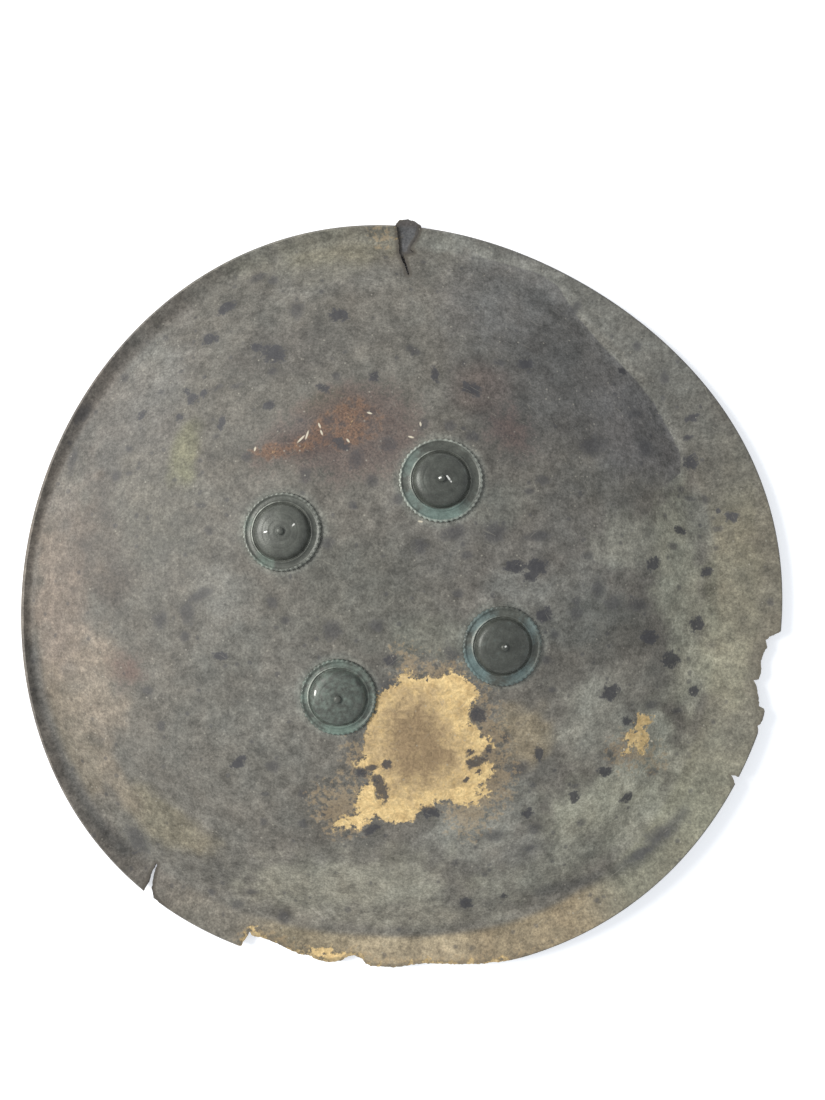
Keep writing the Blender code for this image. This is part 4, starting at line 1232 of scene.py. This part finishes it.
for name, boss in bosses.items():
    flange_radius = BOSSES[name][2]
    local = np.array([v.co for v in boss.data.vertices])
    out, around = np.hypot(local[:, 0], local[:, 1]), bearing_of(local[:, 0], local[:, 1])
    on_flange = smooth_step((out - DOME_RADIUS * 0.97) / 0.002)
    places, everywhere = GREEN[name]
    green = np.full(len(local), everywhere)
    for middle, spread_degrees, strength in places:
        green = np.maximum(green, strength * hump(around, middle, spread_degrees) * on_flange)
    store(boss, "green", green)
    store(boss, "blue", np.full(len(local), BLUENESS[name]))
    # The bead at the dome's foot is painted paler, most at bearing 160 towards the lamp: a painted highlight,
    # stored with the wear.
    foot = ring_field(out, DOME_RADIUS + 0.0014, 0.0006) * (0.35 + 0.65 * hump(around, 160, 110))
    edge = smooth_step((out - flange_radius + BEAD_WIDTH) / 0.001) * PALE_EDGE[name]
    groove = ring_field(out, DOME_RADIUS + 0.0001, 0.0005)
    store(boss, "wear_and_highlight", np.clip(foot + edge, 0, 1))
    store(boss, "glint", glint_field(local, name))
    by_rivet = ring_field(out, 0.0028, 0.0011)
    on_dome = DOME_GRIME[name] * (1 - on_flange)
    store(boss, "grime", np.clip(np.maximum(0.6 * groove, np.maximum(on_dome, by_rivet)), 0, 1))
    boss.data.transform(seat_matrix(name))
for name, rivet in rivets.items():
    local = np.array([v.co for v in rivet.data.vertices])
    even = {"green": 0.1, "blue": BLUENESS[name], "wear_and_highlight": 0.1, "grime": DOME_GRIME[name]}
    for field_name, value in even.items():
        store(rivet, field_name, np.full(len(local), value))
    store(rivet, "glint", glint_field(local, name))
    rivet.data.transform(seat_matrix(name))

# %% The brass and its crust
aged_brass, tree, shader = new_material("patinated brass")
place = add(tree, "TexCoord", {}).outputs["Object"]
crust = cloud(tree, place, 3.5, 5.0, 0.65)
fine_crust = cloud(tree, place, 0.9, 3.0, 0.6)
patches = cloud(tree, place, 8, 3.0, 0.6)
green, blue, wear_and_highlight = (attribute(tree, name) for name in ("green", "blue", "wear_and_highlight"))
grime, glint = attribute(tree, "grime"), attribute(tree, "glint")
brown = mix(tree, crust, "#454843", "#73756c")
pale_green = mix(tree, crust, "#5d6f64", "#98a99c")
pale_blue = mix(tree, crust, "#566a6b", "#8da0a0")
verdigris = mix(tree, blue, pale_green, pale_blue)
green_mask = ramp(tree, times_plus(tree, crust, 0.9, green), 0.62, 1.15)
crusted = mix(tree, green_mask, brown, verdigris)
crusted = mix(tree, times(tree, grime, 0.55), crusted, "#343834")
wear_and_highlight_mask = ramp(tree, times_plus(tree, crust, 0.8, wear_and_highlight), 0.85, 1.5)
bright = mix(tree, wear_and_highlight_mask, crusted, "#c2c6ba")
blotches = times(tree, spread(tree, fine_crust, 0.82, 1.18), spread(tree, patches, 0.74, 1.26))
bright = shaded_by(tree, bright, blotches)
bright = mix(tree, ramp(tree, glint, 0.45, 0.75), bright, "#fbfbf4")
metal_share = times_plus(tree, wear_and_highlight_mask, 0.1, 0.22)
dull = ramp(tree, green_mask, 0, 1, 0.42, 0.85)
crust_relief = times_plus(tree, fine_crust, 0.6, crust)
bump = add(tree, "Bump", {"Height": crust_relief, "Strength": 0.6, "Distance": 0.00018})
plug(tree, shader, {"Base Color": bright, "Metallic": metal_share, "Roughness": dull, "Normal": bump})
print(f"the brass has {len(tree.nodes)} nodes")

# %% Hand the bosses and rivets over
for name in BOSSES:
    for piece, node in ((bosses[name], "boss_" + name), (rivets[name], "rivet_" + name)):
        piece.data.materials.append(aged_brass)
        piece.data.shade_smooth()
        piece.data.set_sharp_from_angle(angle=math.radians(50))
        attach(piece, "root")
        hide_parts(node)

# %% [markdown]
# ## Floor and light
#
# The shield lies on a white light table in soft light from the left and a little from the top
# of the picture, so the left slope of the dome is the brightest, and the lip is dark at the
# left and bright at the right. One large lamp far off keeps the light even across half a
# metre. The table's own glow washes out the shadow that the shield would throw to the right,
# and leaves a faint blue in it. The glow stops inside a round area under the shield, as a
# photographer's card would mask it, so that none shines up the tear.

# %% Set the floor and the light
FLOOR_REACH, FLOOR_DROP = 40, 0.0002
CARD_RADIUS, CARD_FADE, GLOW = 0.2245, 0.002, 0.47
corners = [(FLOOR_REACH * x, FLOOR_REACH * y, 0) for x, y in ((-1, -1), (1, -1), (1, 1), (-1, 1))]
floor = mesh_object("floor", corners, [[0, 1, 2, 3]])
floor.location.z = -FLOOR_DROP

opal, tree, shader = new_material("opal acrylic light table")
place = add(tree, "TexCoord", {}).outputs["Object"]
to_middle = {"Vector": place, "Vector_001": (*OUTLINE_MIDDLE, 0)}
from_middle = add(tree, "VectorMath", to_middle, operation="DISTANCE")
glow = ramp(tree, from_middle.outputs["Value"], CARD_RADIUS, CARD_RADIUS + CARD_FADE, 0, GLOW)
plug(tree, shader, {"Emission Strength": glow})
shader.inputs["Base Color"].default_value = (0.86, 0.86, 0.86, 1)
shader.inputs["Roughness"].default_value = 0.9
shader.inputs["Emission Color"].default_value = (0.90, 0.94, 1.0, 1)
floor.data.materials.append(opal)

world = bpy.data.worlds.new("studio")
world.use_nodes = True
sky = world.node_tree.nodes["Background"]
sky.inputs["Color"].default_value = (0.93, 0.96, 1.0, 1)
sky.inputs["Strength"].default_value = 0.62
bpy.context.scene.world = world

lamp_data = bpy.data.lights.new("window", "AREA")
lamp_data.shape = "DISK"
lamp_data.size = 1.6
lamp_data.energy = 108
lamp_data.color = (1.0, 0.985, 0.96)
lamp = bpy.data.objects.new("window", lamp_data)
lamp.location = (-2.4, 0.65, 2.1)
lamp.rotation_mode = "QUATERNION"
lamp.rotation_quaternion = Vector((0, 0, 1)).rotation_difference(lamp.location)
bpy.context.collection.objects.link(lamp)
bpy.context.scene.view_settings.view_transform = "Standard"
